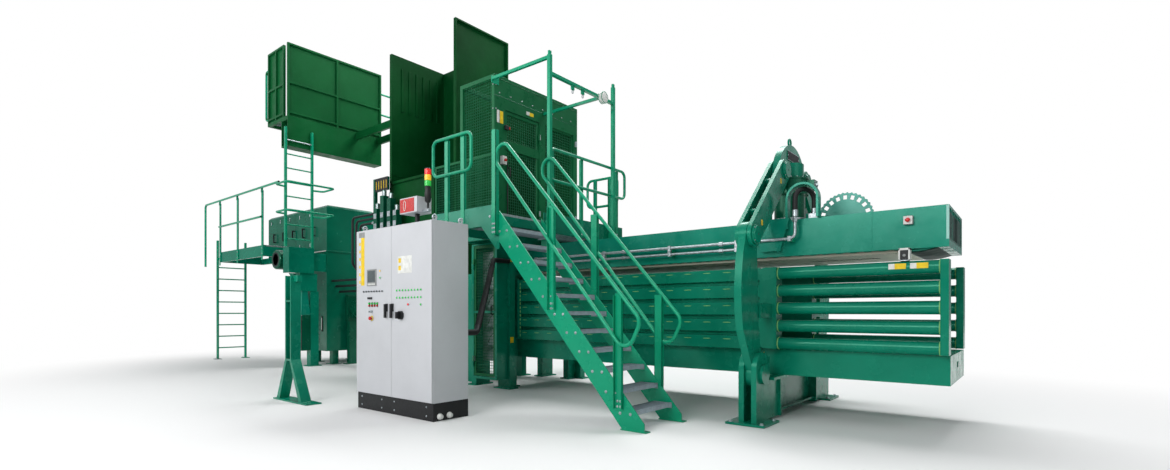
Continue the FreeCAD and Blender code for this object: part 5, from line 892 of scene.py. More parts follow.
def yoke_details():
    """Name plate without a name, flange of the squeeze cylinder, foot bolts and blank stickers."""
    plate = Piece("head_plate", "head", ZINC)
    plate.box((0.0455, 0.0475), (-0.201, 0.201), (3.034, 3.146), PLATE_BLACK)
    plate.box((0.047, 0.0482), (-0.205, 0.205), (3.141, 3.147))
    plate.box((0.047, 0.0482), (-0.205, 0.205), (3.033, 3.039))
    plate.bolts((0.0482, -0.188, 3.09), ACROSS, ALONG, 2, 0.376, 0.004)
    plate.done()
    flange = Piece("cylinder_flange", "head")
    flange.turned(((-0.026, 0.222), (-0.022, 0.228), (-0.002, 0.228), (0.0, 0.222)), (0, 0, 2.822), UP, DARK_GREEN)
    flange.bolt_ring((0, 0, 2.824), UP, 16, 0.195, 0.011)
    flange.turned(((0.0, 0.181), (0.004, 0.188), (0.036, 0.188), (0.04, 0.181)), (0, 0, 2.3), UP, ZINC)
    for z in (2.7, 2.76):
        flange.bolts((0.301, 0.01, z), ACROSS, ALONG, 2, 0.08, 0.008)
    flange.rod((0.299, 0.05, 2.73), (0.322, 0.05, 2.73), 0.02, ZINC, 6)
    flange.done()
    for side, tag in ((-1, "near"), (1, "far")):
        feet = Piece("anchor_bolts_" + tag)
        for x in (-0.17, 0.17):
            feet.bolts((x, side * 1.1675 - 0.17, 0.0255), ACROSS, UP, 2, 0.34, 0.018)
        feet.done()
    stick = Piece("link_sticker", "links_near")
    for y, z in ((-0.539, 2.706), (-1.112, 2.157)):
        stick.box(about(LINK_FACE_X, 0.001), about(y, 0.022), about(z, 0.03), YELLOW)
    stick.done()
    mark = Piece("arm_sticker", "arm_near", YELLOW)
    mark.box((0.039, 0.0408), (-0.95, -0.926), (0.645, 0.755))
    mark.box((0.039, 0.0408), (-0.968, -0.908), (0.675, 0.725))
    mark.done()


# ---------------------------------------------------------------- platform, stairs and rails

RAIL_R = 0.021
RAIL_BEND = 0.09
PLATFORM_TOP = 2.4
PLATFORM_NEAR_Y = -2.35
PLATFORM_EDGE_X = -2.69
STAIR_FAR_Y = -1.6
STEP_RISE, STEP_GOING, STEPS = 0.2, 0.178, 12


def nosing_x(step):
    return PLATFORM_EDGE_X + STEP_GOING * (STEPS - step)


def platform_rails():
    """Bent tube loops, channel posts and their bolts round the platform."""
    work = Piece("platform_rails", paint=RAIL_GREEN)
    y = PLATFORM_NEAR_Y - 0.006 - RAIL_R
    work.tube([(-3.96, y, 3.0), (-3.96, y, 3.48), (-3.18, y, 3.48), (-3.18, y, 3.0)], RAIL_R, RAIL_GREEN, RAIL_BEND,
              True)
    low = PLATFORM_TOP - 0.14
    for x in (-3.745, -3.415):
        work.box((x, x + 0.07), (y + RAIL_R, y + RAIL_R + 0.006), (low, 3.482))
        for edge in (x, x + 0.064):
            work.box((edge, edge + 0.006), (y + RAIL_R - 0.002, PLATFORM_NEAR_Y + 0.03), (PLATFORM_TOP + 0.11, 3.46))
        work.bolts((x + 0.035, y + RAIL_R, low + 0.04), UP, NEAR, 2, 0.09, 0.009)
    x = PLATFORM_EDGE_X
    work.box((x - 0.075, x - 0.005), (PLATFORM_NEAR_Y - 0.06, PLATFORM_NEAR_Y - 0.052), (low - 0.13, 3.4))
    for edge in (x - 0.075, x - 0.013):
        work.box((edge, edge + 0.008), (PLATFORM_NEAR_Y - 0.06, PLATFORM_NEAR_Y), (low - 0.13, 3.4))
    for inset in (0.055, 0.025):
        work.bolts((x - inset, PLATFORM_NEAR_Y - 0.06, low - 0.1), UP, NEAR, 3, 0.05, 0.009)
    x_rail = PLATFORM_EDGE_X + RAIL_R
    y0, y1 = STAIR_FAR_Y + 0.13, 0.27
    work.tube([(x_rail, y0, 2.96), (x_rail, y0, 3.38), (x_rail, y1, 3.38), (x_rail, y1, 2.96)], RAIL_R, RAIL_GREEN,
              RAIL_BEND, True)
    for yy in (STAIR_FAR_Y + 0.18, -0.8, 0.06):
        work.box((x, x + 0.006), (yy, yy + 0.06), (low, 3.382))
        for edge in (yy, yy + 0.055):
            work.box((x - 0.024, x + 0.002), (edge, edge + 0.005), (PLATFORM_TOP + 0.11, 3.36))
        work.bolts((x + 0.006, yy + 0.03, low + 0.04), UP, ALONG, 2, 0.09, 0.009)
    y_end = 0.24 + RAIL_R
    work.tube([(-3.4, y_end, 2.9), (-3.4, y_end, 3.34), (-2.8, y_end, 3.34), (-2.8, y_end, 2.9)], RAIL_R,
              RAIL_GREEN, RAIL_BEND, True)
    for xx in (-3.25, -2.96):
        work.box((xx, xx + 0.06), (0.24, 0.246), (low, 3.342))
        for edge in (xx, xx + 0.055):
            work.box((edge, edge + 0.005), (0.22, 0.242), (PLATFORM_TOP + 0.01, 3.32))
    for y_stair, out in ((PLATFORM_NEAR_Y, -1), (STAIR_FAR_Y, 1)):
        stair_rail(work, y_stair, out)
    work.done("handrails")


def stair_rail(work, y, out):
    """Hairpin tube of one side with its two channel posts and their bolts."""
    centre = y + out * (0.012 + RAIL_R)
    high, low = (PLATFORM_EDGE_X - 0.02, 3.395), (-0.63, 1.11)
    slope = (high[1] - low[1]) / (low[0] - high[0])
    work.tube([(high[0], centre, 3.0), (high[0], centre, high[1]), (low[0], centre, low[1]),
               (low[0] - 0.17, centre, low[1] - 0.35)], RAIL_R, RAIL_GREEN, 0.12, True)
    for x in (-1.86, -0.95):
        top = high[1] - (x + 0.07 - high[0]) * slope
        work.box((x - 0.015, x + 0.085), (y, y + out * 0.006), (top - 1.19, top), RAIL_GREEN)
        for edge in (x - 0.015, x + 0.08):
            work.box((edge, edge + 0.005), (y, y + out * 0.04), (top - 1.17, top - 0.02), RAIL_GREEN)
        for row in (0.015, 0.055):
            work.bolts((x + row, y + out * 0.006, top - 1.15), UP, (0, out, 0), 2, 0.055, 0.009)


def gratings():
    """Welded bar gratings on platform, deck and gallery, each in its edge bars."""
    work = Piece("grating_panels")
    spans = (((-4.51, -3.93), (-1.48, 0.24), 2.4), ((-3.93, -2.7), (-2.34, 0.24), 2.4),
             ((-13.6, -11.04), (-1.66, -0.73), 2.69), ((-11.04, -10.14), (-1.55, 0.6), 5.43))
    for x, y, top in spans:
        flat = standing((x[0], y[0], top - 0.03), ALONG, ACROSS)
        lift = Matrix.Translation((0, 0, 0.015))
        work.grid(lift @ flat, x[1] - x[0], y[1] - y[0], (0.0345, 0.1), ZINC, (0.003, 0.006), (0.03, 0.01))
        for level in (y[0], y[1] - 0.004):
            work.box(x, (level, level + 0.004), (top - 0.03, top), ZINC)
        for level in (x[0], x[1] - 0.004):
            work.box((level, level + 0.004), y, (top - 0.03, top), ZINC)
    work.done("floor_gratings")


def treads():
    """Eleven grating treads with end plates and a perforated nosing."""
    work = Piece("tread_set", paint=DULL_ZINC)
    y = (PLATFORM_NEAR_Y + 0.012, STAIR_FAR_Y - 0.012)
    for step in range(1, STEPS):
        front, z = nosing_x(step), STEP_RISE * step
        back = front - 0.23
        flat = standing((back, y[0], z - 0.017), ALONG, ACROSS)
        work.grid(flat, 0.205, y[1] - y[0], (0.0228, 0.04), DULL_ZINC, (0.003, 0.006), (0.03, 0.012))
        work.box((front - 0.026, front), y, (z - 0.006, z))
        work.box((front - 0.004, front), y, (z - 0.04, z - 0.004))
        work.box((back, back + 0.003), y, (z - 0.036, z))
        for edge in (y[0], y[1] - 0.004):
            work.box((back, front), (edge, edge + 0.004), (z - 0.058, z))
        work.grid(standing((front - 0.024, y[0], z + 0.0015), ALONG, ACROSS), 0.022, y[1] - y[0],
                  (0.011, 0.014), DULL_ZINC, (0.002, 0.005), (0.003, 0.004))
    work.done("stair_treads")


def stringer_bolts():
    """Bolt pairs of each tread and the clips at the platform, on the stringers' outer faces."""
    work = Piece("stringer_bolts")
    for y, out in ((PLATFORM_NEAR_Y, -1), (STAIR_FAR_Y, 1)):
        for step in range(1, STEPS + 1):
            x, z = nosing_x(step) - 0.062, STEP_RISE * step - 0.03
            work.bolts((x - 0.11, y, z), ALONG, (0, out, 0), 2, 0.125, 0.0105)
    work.done()


# ---------------------------------------------------------------- guard cage

CAGE_X = (-4.51, -3.74)
CAGE_NEAR_Y, CAGE_FAR_Y = -1.48, 0.4
CAGE_TOP = 4.65
CAGE_POST = 0.06
CAGE_PITCH, CAGE_WIRE = 0.042, 0.005
TYING_PITCH, TYING_WIRE = 0.045, 0.006


def framed_mesh(work, matrix, width, height, frame, pitch=CAGE_PITCH, wire=CAGE_WIRE):
    """Mesh in a flat bar frame; the matrix puts its lower corner, with local X along and Z up."""
    bars = (((0, width), (0, frame)), ((0, width), (height - frame, height)), ((0, frame), (frame, height - frame)),
            ((width - frame, width), (frame, height - frame)))
    for x, z in bars:
        work.box(x, (-0.0125, 0.0125), z, CAGE_GREEN, matrix)
    inner = matrix @ Matrix.Translation((frame - 0.005, 0, frame - 0.005))
    work.grid(inner, width - 2 * frame + 0.01, height - 2 * frame + 0.01, (pitch, pitch), WIRE, (wire, wire),
              (wire, wire))


def cage_panels():
    """Fixed mesh of the cage's side, its window and the guard row beside the hopper."""
    work = Piece("mesh_panels")
    side = standing((CAGE_X[0] + CAGE_POST, CAGE_NEAR_Y + 0.03, PLATFORM_TOP + CAGE_POST))
    framed_mesh(work, side, 0.65, 2.13, 0.012)
    window = standing((-3.77, -0.4, 2.56), ACROSS)
    framed_mesh(work, window, 0.7, 1.62, 0.03)
    for x in (-6.235, -5.375):
        framed_mesh(work, standing((x, -0.655, 2.42)), 0.86, 1.43, 0.04)
    work.done("cage_mesh")
    back = Piece("cage_back_sheets", paint=HOPPER_GREEN)
    back.box((CAGE_X[0] + CAGE_POST, CAGE_X[1] - CAGE_POST), (CAGE_FAR_Y - 0.034, CAGE_FAR_Y - 0.03), (2.46, 4.59))
    back.box((CAGE_X[0] + 0.03, CAGE_X[0] + 0.034), (-0.64, CAGE_FAR_Y - CAGE_POST), (2.46, 4.59))
    back.done()


def cage_door():
    """Mesh door between its posts, with the cross rail, the latch bar, hinges and a grip."""
    y0, y1 = -1.266, -0.534
    width = y1 - y0
    work = Piece("cage_door_leaf", "cage_gate")
    for low, high in ((2.42, 3.66), (3.6, 4.174)):
        framed_mesh(work, standing((-3.765, y0, low), ACROSS), width, high - low, 0.05)
    work.box((-3.785, -3.745), (y0, y1), (3.6, 3.74), CAGE_GREEN)
    work.rod((-3.742, y0 + 0.05, 3.4), (-3.742, y0 + 0.05, 2.5), 0.008, ZINC, 12)
    x = -3.69
    work.tube([(-3.745, y0 + 0.055, 3.19), (x, y0 + 0.055, 3.19), (x, y0 + 0.055, 3.33), (-3.745, y0 + 0.055, 3.33)],
              0.01, BLACK, 0.02, False, 12)
    for z in (2.7, 3.9):
        work.rod((-3.728, -0.532, z), (-3.728, -0.532, z + 0.08), 0.012, ZINC, 20)
        work.box((-3.745, -3.719), (-0.562, -0.532), (z, z + 0.08), ZINC)
    work.done("cage_door")


def cage_details():
    """Seams, screws, door switch, fixed hinge halves and blank labels on the cage's front."""
    work = Piece("cage_fittings")
    x = CAGE_X[1]
    work.box((x, x + 0.0015), (CAGE_NEAR_Y, CAGE_FAR_Y), (4.345, 4.351), DARK_GREEN)
    work.box((x, x + 0.004), (CAGE_NEAR_Y, CAGE_FAR_Y), (CAGE_TOP - 0.05, CAGE_TOP - 0.044), CAGE_GREEN)
    for z in (2.8, 3.25, 3.7, 4.15, 4.5):
        work.bolts((x + 0.0005, CAGE_NEAR_Y + 0.03, z), ACROSS, ALONG, 1, 0.1, 0.007)
        work.bolts((CAGE_X[1] - 0.03, CAGE_NEAR_Y - 0.0005, z), ALONG, NEAR, 1, 0.1, 0.007)
    work.bolts((x + 0.0005, -1.38, 4.4), ACROSS, ALONG, 8, 0.23, 0.007)
    work.box((x, x + 0.03), (-1.285, -1.215), (3.885, 3.945), BLACK)
    work.box((x, x + 0.032), (-1.215, -1.195), (3.895, 3.935), RED)
    for y, z in ((0.356, 4.04), (0.356, 2.77)):
        work.box((x, x + 0.022), about(y, 0.02), about(z, 0.045), ZINC)
    for y, z, wide, tall, paint in ((-1.402, 4.049, 0.03, 0.09, WHITE), (-1.345, 4.049, 0.036, 0.09, YELLOW),
                                    (-0.79, 4.254, 0.035, 0.026, WHITE), (-0.71, 4.254, 0.045, 0.026, YELLOW)):
        work.box((x, x + 0.0012), (y - wide, y + wide), (z - tall, z + tall), paint)
    work.done()


def gallows_details():
    """White lamp head and two eyes of the lamp gallows."""
    work = Piece("gallows_lamp")
    work.turned(((0.0, 0.084), (0.03, 0.087), (0.056, 0.087), (0.062, 0.07)), (-2.598, -0.42, 4.33), ALONG, WHITE, 40)
    work.turned(((0.0, 0.06), (0.01, 0.056), (0.013, 0.03)), (-2.537, -0.42, 4.33), ALONG, WHITE, 32)
    for y in (-1.05, -0.83):
        work.tube([(-2.623, y, 4.262), (-2.623, y - 0.022, 4.238), (-2.623, y, 4.212), (-2.623, y + 0.022, 4.238)],
                  0.006,
                  ZINC, 0.01, True, 10)
    work.done()


# ---------------------------------------------------------------- tying station

def tying_guard():
    """Mesh guard door of the tying station, its frame, grip and hinge knuckles."""
    x0, x1 = -4.58, -4.1
    z0, z1 = 0.196, 2.234
    work = Piece("tying_guard_leaf", "tying_guard")
    framed_mesh(work, standing((x0, -1.13, z0)), x1 - x0, z1 - z0, 0.04, TYING_PITCH, TYING_WIRE)
    work.box((x0, x1), (-1.145, -1.115), (1.18, 1.21), GREEN)
    work.tube([(x1 - 0.045, -1.145, 1.16), (x1 - 0.045, -1.18, 1.16), (x1 - 0.045, -1.18, 1.29),
               (x1 - 0.045, -1.145, 1.29)],
              0.009, BLACK, 0.02, False, 12)
    for z in (0.42, 1.95):
        work.rod((-4.582, -1.162, z), (-4.582, -1.162, z + 0.08), 0.012, ZINC, 20)
        work.box((-4.582, -4.552), (-1.174, -1.145), (z, z + 0.08), ZINC)
    work.done("tying_door")


def tying_details():
    """Wire brakes, cable runs and blank labels behind and beside the guard door."""
    work = Piece("wire_brakes")
    for i in range(5):
        z = 0.64 + 0.3 * i
        work.turned(((0.0, 0.066), (0.006, 0.068), (0.01, 0.05), (0.046, 0.05), (0.05, 0.068), (0.058, 0.066)),
                    (-4.42, -0.972, z), NEAR, ZINC)
        work.bolt_ring((-4.42, -1.0315, z), NEAR, 6, 0.03, 0.006)
        work.box((-4.3, -4.2), (-0.985, -0.97), about(z, 0.05), RAIL_GREEN)
        work.rod((-4.25, -0.985, z), (-4.25, -1.04, z), 0.018, ZINC, 16)
        work.tube([(-4.42, -1.00, z + 0.06), (-4.34, -1.02, z + 0.17), (-4.25, -1.02, z + 0.24)], 0.005, RUBBER, 0.03,
                  False, 8)
    work.done()
    marks = Piece("frame_labels")
    for x, y, z in ((-4.0, -0.88, 2.02), (-4.0, -0.88, 0.76)):
        marks.box((x, x + 0.0012), about(y, 0.035), about(z, 0.045), YELLOW)
    marks.done()


# ---------------------------------------------------------------- control cabinet

CAB_X = (-4.255, -2.715)
CAB_SPLIT = -3.485
CAB_Y = -3.31
CAB_Z = (0.2, 2.2)
PITCH = 0.058
MAST_FOOT = (-3.075, -3.1, 0)


def pilot_head(work, x, z, paint, radius=0.011, deep=0.012):
    """Round indicator or button head in its metal ring."""
    work.turned(((0.0, radius + 0.003), (0.004, radius + 0.003), (0.005, radius)), (x, CAB_Y, z), NEAR, ZINC, 20)
    work.turned(((0.004, radius), (deep - 0.003, radius), (deep, radius * 0.7)), (x, CAB_Y, z), NEAR, paint, 20)


def cabinet_doors():
    """Folded doors with their heads, display, buttons, labels and collars."""
    left = Piece("left_door_leaf", "left_door", BLACK)
    left.box((CAB_X[0] + 0.002, CAB_SPLIT - 0.002), (CAB_Y, CAB_Y + 0.0215), (CAB_Z[0] + 0.004, CAB_Z[1] - 0.004),
             CABINET)
    left.box((-4.003, -3.803), (CAB_Y - 0.008, CAB_Y), (1.511, 1.711), GREY)
    left.box((-3.983, -3.823), (CAB_Y - 0.01, CAB_Y - 0.007), (1.555, 1.695), SCREEN)
    for i in range(6):
        left.box((-3.98 + 0.027 * i, -3.962 + 0.027 * i), (CAB_Y - 0.011, CAB_Y - 0.007), (1.522, 1.54), WHITE)
    pilot_head(left, -3.718, 1.685, AMBER_LAMP)
    pilot_head(left, -3.718, 1.604, GREEN_LAMP)
    for i in range(8):
        pilot_head(left, -4.073 + PITCH * i, 1.443, BLACK, 0.0095, 0.018)
    for x in (-3.965, -3.915):
        left.box(about(x, 0.018), (CAB_Y - 0.016, CAB_Y), (1.35, 1.374))
    for i in range(4):
        x = -3.953 + PITCH * i
        left.box(about(x, 0.0135), (CAB_Y - 0.005, CAB_Y), (1.256, 1.312))
        left.box(about(x, 0.01), (CAB_Y - 0.015, CAB_Y - 0.004), (1.287, 1.308), GREEN_LAMP)
        left.box(about(x, 0.01), (CAB_Y - 0.015, CAB_Y - 0.004), (1.26, 1.281), RED)
    collar = (-3.9, CAB_Y, 1.118)
    left.tube(loop((collar[0], CAB_Y - 0.005, collar[2]), 0.026, 0.026, 20), 0.0055, YELLOW, 0.0, True, 10)
    left.box((-4.195, -4.15), (CAB_Y - 0.0012, CAB_Y), (1.521, 2.11), LABEL_BLUE)
    left.box((-4.148, -4.07), (CAB_Y - 0.0012, CAB_Y), (1.521, 2.11), YELLOW)
    left.box((-4.195, -4.066), (CAB_Y - 0.002, CAB_Y), (2.112, 2.176), GREY)
    for i in range(6):
        left.box((-4.19, -4.158), (CAB_Y - 0.002, CAB_Y), (1.545 + 0.094 * i, 1.583 + 0.094 * i), YELLOW)
    left.done("cabinet_door_left", bevel=0.002)

    right = Piece("right_door_leaf", "right_door")
    right.box((CAB_SPLIT + 0.002, CAB_X[1] - 0.002), (CAB_Y, CAB_Y + 0.0215), (CAB_Z[0] + 0.004, CAB_Z[1] - 0.004),
              CABINET)
    right.box((-3.356, -3.081), (CAB_Y - 0.0014, CAB_Y), (1.638, 1.834), WHITE)
    for z in (1.7, 1.785):
        right.box((-3.34, -3.29), (CAB_Y - 0.0022, CAB_Y), about(z, 0.026), YELLOW)
    for z in (1.359, 1.443):
        for i in range(9):
            pilot_head(right, -3.369 + PITCH * i, z, GREEN_LAMP)
    pilot_head(right, -3.146, 1.281, RED_LAMP, 0.013)
    pilot_head(right, -2.908, 1.279, GREEN_LAMP, 0.012)
    right.done("cabinet_door_right", bevel=0.002)

    stop_cap("stop_cap_cabinet", "stop_button_cabinet", (collar[0], CAB_Y - 0.01, collar[2]), NEAR,
             "cabinet_stop_button")
    key = Piece("key_and_lock", "key")
    key.turned(((0.0, 0.0145), (0.018, 0.0145), (0.022, 0.012)), (-3.896, CAB_Y, 1.199), NEAR, ZINC, 24)
    key.box((-3.8975, -3.8945), (CAB_Y - 0.05, CAB_Y - 0.021), (1.188, 1.21), ZINC)
    key.done("key_switch", bevel=0.0008)


def cabinet_extras():
    """Lifting eyes, black plinth with its screws, and cable plugs."""
    work = Piece("cabinet_fittings")
    for x in (CAB_X[0] + 0.06, CAB_X[1] - 0.06):
        for y in (-3.228, -2.87):
            work.turned(((0.0, 0.022), (0.01, 0.022), (0.013, 0.014), (0.02, 0.012)), (x, y, CAB_Z[1]), UP, ZINC, 24)
            work.tube(loop((x, y, CAB_Z[1] + 0.0395), 0.027, 0.027, 18, False), 0.0085, ZINC, 0.0, True, 10)
    work.box((CAB_X[0] - 0.0005, CAB_X[1] + 0.0005), (-3.2885, -2.8095), (0.0, 0.198), BLACK)
    for x in (-4.16, -3.72, -3.46, -2.84):
        for z in (0.05, 0.15):
            work.bolts((x, -3.289, z), ALONG, NEAR, 1, 0.1, 0.007)
    for y in (-3.207, -3.078):
        work.turned(((0.0, 0.034), (0.012, 0.034), (0.016, 0.026), (0.04, 0.024), (0.044, 0.018)),
                    (CAB_X[1], y, 0.05), ALONG, WHITE, 28)
    work.done()


def conduit():
    """Thick ribbed hose from the cabinet's back up to the tying station's column."""
    work = Piece("cabinet_hose")
    path = [(-2.8, -2.81, 0.955), (-2.8, -2.61, 0.955), (-4.012, -1.25, 1.98), (-4.012, -0.935, 1.98)]
    work.tube(path, 0.036, RUBBER, 0.09)
    start, end = Vector(path[1]), Vector(path[2])
    run = (end - start).normalized()
    for i in range(58):
        spot = start + run * (0.14 + i * 0.03)
        work.rod(spot, spot + run * 0.016, 0.0405, RUBBER, 16)
    work.done("cabinet_conduit")


def signals():
    """Sign box with its red front and lens, and the stack light in four stages."""
    work = Piece("signal_set", paint=BLACK)
    work.box((-3.31, -3.27), (-3.11, -3.07), (2.2, 2.35))
    work.box((-3.5, -3.16), (-3.188, -2.99), (2.35, 2.53), CABINET)
    work.box((-3.492, -3.215), (-3.1915, -3.187), (2.362, 2.518), RED)
    work.tube(loop((-3.4, -3.192, 2.44), 0.022, 0.058, 24), 0.0035, WHITE, 0.0, True, 8)
    work.turned(((0.0, 0.046), (0.03, 0.045), (0.046, 0.036), (0.05, 0.02)), (-3.5, -3.09, 2.44), (-1, 0, 0),
                RED_LAMP)
    work.box((-3.16, -3.04), (-3.12, -3.08), (2.35, 2.38), ZINC)
    work.rod((-3.075, -3.1, 2.38), (-3.075, -3.1, 2.46), 0.014, ZINC, 20)
    work.turned(((2.45, 0.02), (2.47, 0.034), (2.56, 0.037), (2.6, 0.03), (2.64, 0.034)), MAST_FOOT,
                UP)
    for low, paint in ((2.642, GREEN_LAMP), (2.708, AMBER_LAMP), (2.774, RED_LAMP)):
        work.turned(((low, 0.034), (low + 0.004, 0.037), (low + 0.06, 0.037), (low + 0.064, 0.034)),
                    MAST_FOOT, UP, paint)
    work.turned(((2.838, 0.036), (2.846, 0.035), (2.85, 0.026)), MAST_FOOT, UP)
    work.done("signal_mast", bevel=0.0015)


# ---------------------------------------------------------------- hopper

def hopper_details():
    """Seams, bolt rows and stiffening swages of the hopper."""
    work = Piece("hopper_seams", paint=HOPPER_GREEN)
    work.bolts((-5.676, 0.612, 4.7), UP, ALONG, 9, 0.2, 0.009, HOPPER_GREEN)
    for i in range(6):
        y = -0.42 + 0.17 * i
        work.box((-7.6885, -7.672), (y, y + 0.05), (5.25, 6.12))
    work.box((-7.6885, -7.68), (-0.62, 0.62), (3.93, 3.945))
    work.done()


# ---------------------------------------------------------------- power pack

TANK_Y = -0.73


def enclosure_details():
    """Panel seams, hinges and black grips of the sound enclosure, and the tank's gauge with its bolt row."""
    work = Piece("enclosure_seams")
    for i in range(1, 6):
        x = -13.19 + 0.508 * i
        work.box(about(x, 0.003), (TANK_Y - 0.0015, TANK_Y), (2.61, 3.57), DARK_GREEN)
    work.box((-11.34, -10.14), (TANK_Y - 0.024, TANK_Y - 0.019), (2.565, 2.585), WHITE)
    for i in range(5):
        x = -12.99 + 0.52 * i
        for z in (2.72, 3.42):
            work.rod((x, TANK_Y - 0.01, z), (x, TANK_Y - 0.01, z + 0.08), 0.01, ZINC, 12)
    work.done()
    grips = Piece("enclosure_grips", paint=BLACK)
    for i in range(5):
        x = (-12.7825 + 0.52 * i, -12.7575 + 0.52 * i)
        grips.box(x, (TANK_Y - 0.0615, TANK_Y - 0.0365), (2.9485, 3.1715))
        for low in (2.9485, 3.1465):
            grips.box(x, (TANK_Y - 0.0375, TANK_Y - 0.0005), (low, low + 0.025))
    grips.done(bevel=0.002)
    gauge = Piece("tank_gauge")
    gauge.box((-10.36, -10.32), (TANK_Y - 0.016, TANK_Y), (0.75, 1.1), BLACK)
    gauge.box((-10.352, -10.328), (TANK_Y - 0.019, TANK_Y - 0.014), (0.79, 1.06), WHITE)
    gauge.bolts((-11.25, TANK_Y - 0.001, 2.5), ALONG, NEAR, 8, 0.14, 0.009)
    gauge.done()


def pump_set():
    """Finned motor with its fan cowl, and the louvred cooler."""
    motor = Piece("motor_body")
    x, z = -10.59, 2.34
    motor.rod((x, -1.49, z), (x, -0.85, z), 0.182, DARK_GREEN, 40)
    for i in range(28):
        angle = 2 * math.pi * i / 28
        turn = Matrix.Translation((x, 0, z)) @ Matrix.Rotation(angle, 4, "Y")
        motor.box((-0.004, 0.004), (-1.47, -0.86), (0.176, 0.211), DARK_GREEN, turn)
    motor.turned(((0.0, 0.19), (0.02, 0.213), (0.17, 0.213), (0.19, 0.198)), (x, -1.45, z), NEAR, DARK_GREEN, 40)
    for i in range(6):
        motor.turned(((0.0, 0.03 + 0.026 * i), (0.003, 0.03 + 0.026 * i), (0.0032, 0.022 + 0.026 * i)),
                     (x, -1.637, z),
                     NEAR, BLACK, 32)
    motor.turned(((0.0, 0.2), (0.012, 0.205), (0.11, 0.205), (0.12, 0.2)), (x, -0.73, z), NEAR, DARK_GREEN, 40)
    motor.bolt_ring((x, -0.851, z), NEAR, 8, 0.19, 0.011)
    motor.done("pump_motor")
    cooler = Piece("cooler_louvres")
    cooler.box((-10.27, -10.09), (-1.3, -1.12), (0.35, 1.13), DARK_GREEN)
    cooler.grid(standing((-10.265, -1.306, 0.37)), 0.17, 0.74, (0.085, 0.03), BLACK, (0.01, 0.012), (0.008, 0.01))
    cooler.sheet([(-1.31, 1.13), (-1.11, 1.13), (-1.17, 1.65), (-1.29, 1.65)], -10.25, -10.11, LID_GREEN, "x")
    cooler.bolts((-10.26, -1.301, 1.12), ALONG, NEAR, 3, 0.08, 0.006)
    cooler.done("oil_cooler")


def pipe_set():
    """Three bent pipes to the valve stack, the valves' coils and the striped module board."""
    work = Piece("pipe_runs")
    for i in range(3):
        drop_x, level, outlet = -8.8 + 0.15 * i, 3.16 - 0.09 * i, 1.9 - 0.12 * i
        y_tank, y_stack = -0.6 + 0.09 * i, -0.852
        work.tube([(-10.14, y_tank, outlet), (drop_x, y_tank, outlet), (drop_x, y_stack, outlet + 0.3),
                   (drop_x, y_stack, level), (-7.96, y_stack, level)], 0.024, BLACK, 0.1)
        work.rod((-8.02, y_stack, level), (-7.955, y_stack, level), 0.034, ZINC, 6)
    work.done("hydraulic_pipes")
    coils = Piece("valve_coils")
    for x, top in ((-7.96, 3.25), (-7.72, 3.48), (-7.48, 3.4), (-7.28, 3.15)):
        coils.rod((x + 0.06, -0.82, top - 0.002), (x + 0.06, -0.82, top + 0.1), 0.042, BLACK, 24)
        coils.rod((x + 0.06, -0.82, top + 0.1), (x + 0.06, -0.82, top + 0.108), 0.018, ZINC, 6)
        for z in (2.62, 2.85, 3.05):
            coils.box((x + 0.012, x + 0.108), (-0.884, -0.879), (z, z + 0.1), ZINC)
            coils.bolts((x + 0.028, -0.884, z + 0.05), ALONG, NEAR, 2, 0.064, 0.006)
    coils.box((-8.002, -7.558), (-0.812, -0.808), (3.598, 3.862), BLACK)
    for i in range(5):
        coils.box((-7.97 + 0.088 * i, -7.952 + 0.088 * i), (-0.8145, -0.81), (3.64, 3.8), YELLOW)
    coils.done()


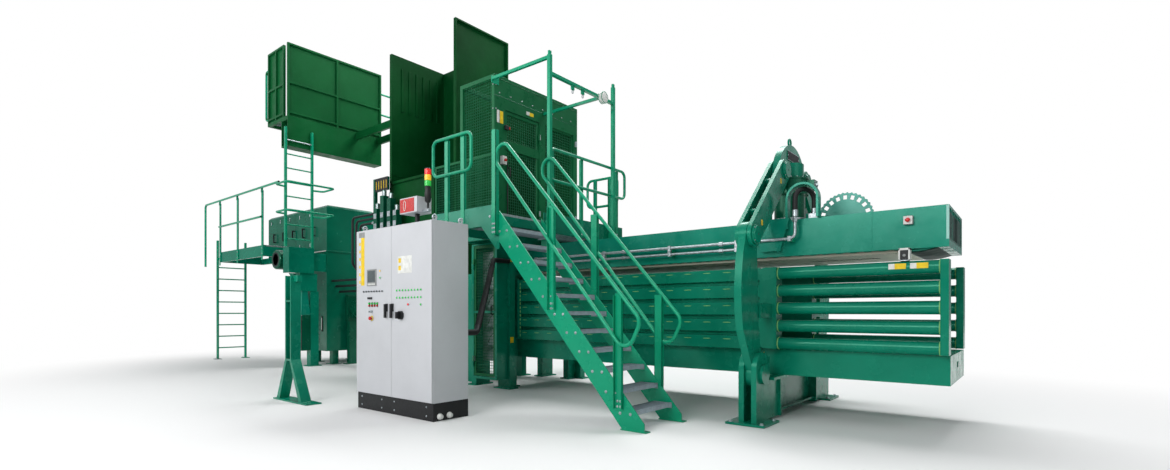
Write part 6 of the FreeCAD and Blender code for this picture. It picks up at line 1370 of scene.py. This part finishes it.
def deck_rails():
    """Rails and flat posts of the deck, the gallery's rails, and both ladders with their hoops."""
    work = Piece("deck_rail_tubes")
    y = -1.7 - 0.012 - RAIL_R
    r = 0.0232
    work.tube([(-14.5375, y, 2.37), (-14.5375, y, 3.97), (-10.21, y, 3.97)], r, RAIL_GREEN, 0.09)
    work.tube([(-13.59, y, 3.32), (-11.1, y, 3.32)], r, RAIL_GREEN, 0.0)
    for x in (-13.59, -12.49, -11.1):
        work.box(about(x, 0.035), (-1.7185, -1.7122), (2.36, 3.95), RAIL_GREEN)
        work.bolts((x, -1.7185, 2.5), UP, NEAR, 2, 0.12, 0.009)
    x = -10.115
    for z in (6.0, 6.5):
        work.tube([(x, 0.6, z), (x, 1.3, z)], r, RAIL_GREEN, 0.0)
    y = -1.579
    work.tube([(-11.09, y, 5.5), (-11.21, y, 5.5), (-11.21, y, 6.6), (-11.09, y, 6.6)], r, RAIL_GREEN, 0.07)
    work.done()
    steps = Piece("ladder_set", paint=RAIL_GREEN)
    for x, ys, zs, first, pitch in ((-13.79, (-1.72, -1.04), (0.0, 3.0), 0.29, 0.29),
                                    (-10.06, (-1.68, -1.08), (2.59, 5.13), 2.76, 0.3)):
        for edge in (ys[0], ys[1] - 0.04):
            steps.box(about(x, 0.03), (edge, edge + 0.04), zs)
        for i in range(8):
            steps.rod((x, ys[0] + 0.02, first + i * pitch), (x, ys[1] - 0.02, first + i * pitch), 0.015, RAIL_GREEN,
                      14)
    for edge in (-1.72, -1.08):
        steps.box((-13.88, -13.7), (edge - 0.05, edge + 0.09), (0.0, 0.015))
        steps.bolts((-13.85, edge - 0.02, 0.015), ALONG, UP, 2, 0.12, 0.012)
    for edge in (-1.69, -1.08):
        steps.box((-13.76, -13.64), (edge, edge + 0.04), (2.5, 2.56))
    x = -10.06
    for z in (3.28, 3.86):
        steps.tube([(x, -1.66, z), (x + 0.06, -1.88, z), (x + 0.56, -1.88, z), (x + 0.56, -0.88, z),
                    (x + 0.06, -0.88, z),
                    (x, -1.1, z)], RAIL_R, RAIL_GREEN, 0.08)
    steps.done("ladders")


# ---------------------------------------------------------------- the whole

make_camera()
make_world()
make_floor()
for paint, nodes in NODE_PAINT:
    for node in nodes:
        paint_node(node, paint)
for side, body in ((-1, "wall_near"), (1, "wall_far")):
    wall_welds(side, body)
for build in (cage_labels, stop_boxes, lid_skin, lid_pipework, lid_hose, pin_caps, yoke_details,
              platform_rails, gratings, treads, stringer_bolts, cage_panels, cage_door, cage_details,
              gallows_details, tying_guard, tying_details, cabinet_doors, cabinet_extras, conduit, signals,
              hopper_details, enclosure_details, pump_set, pipe_set, deck_rails):
    build()
for box in SOFTBOXES:
    softbox(*box)
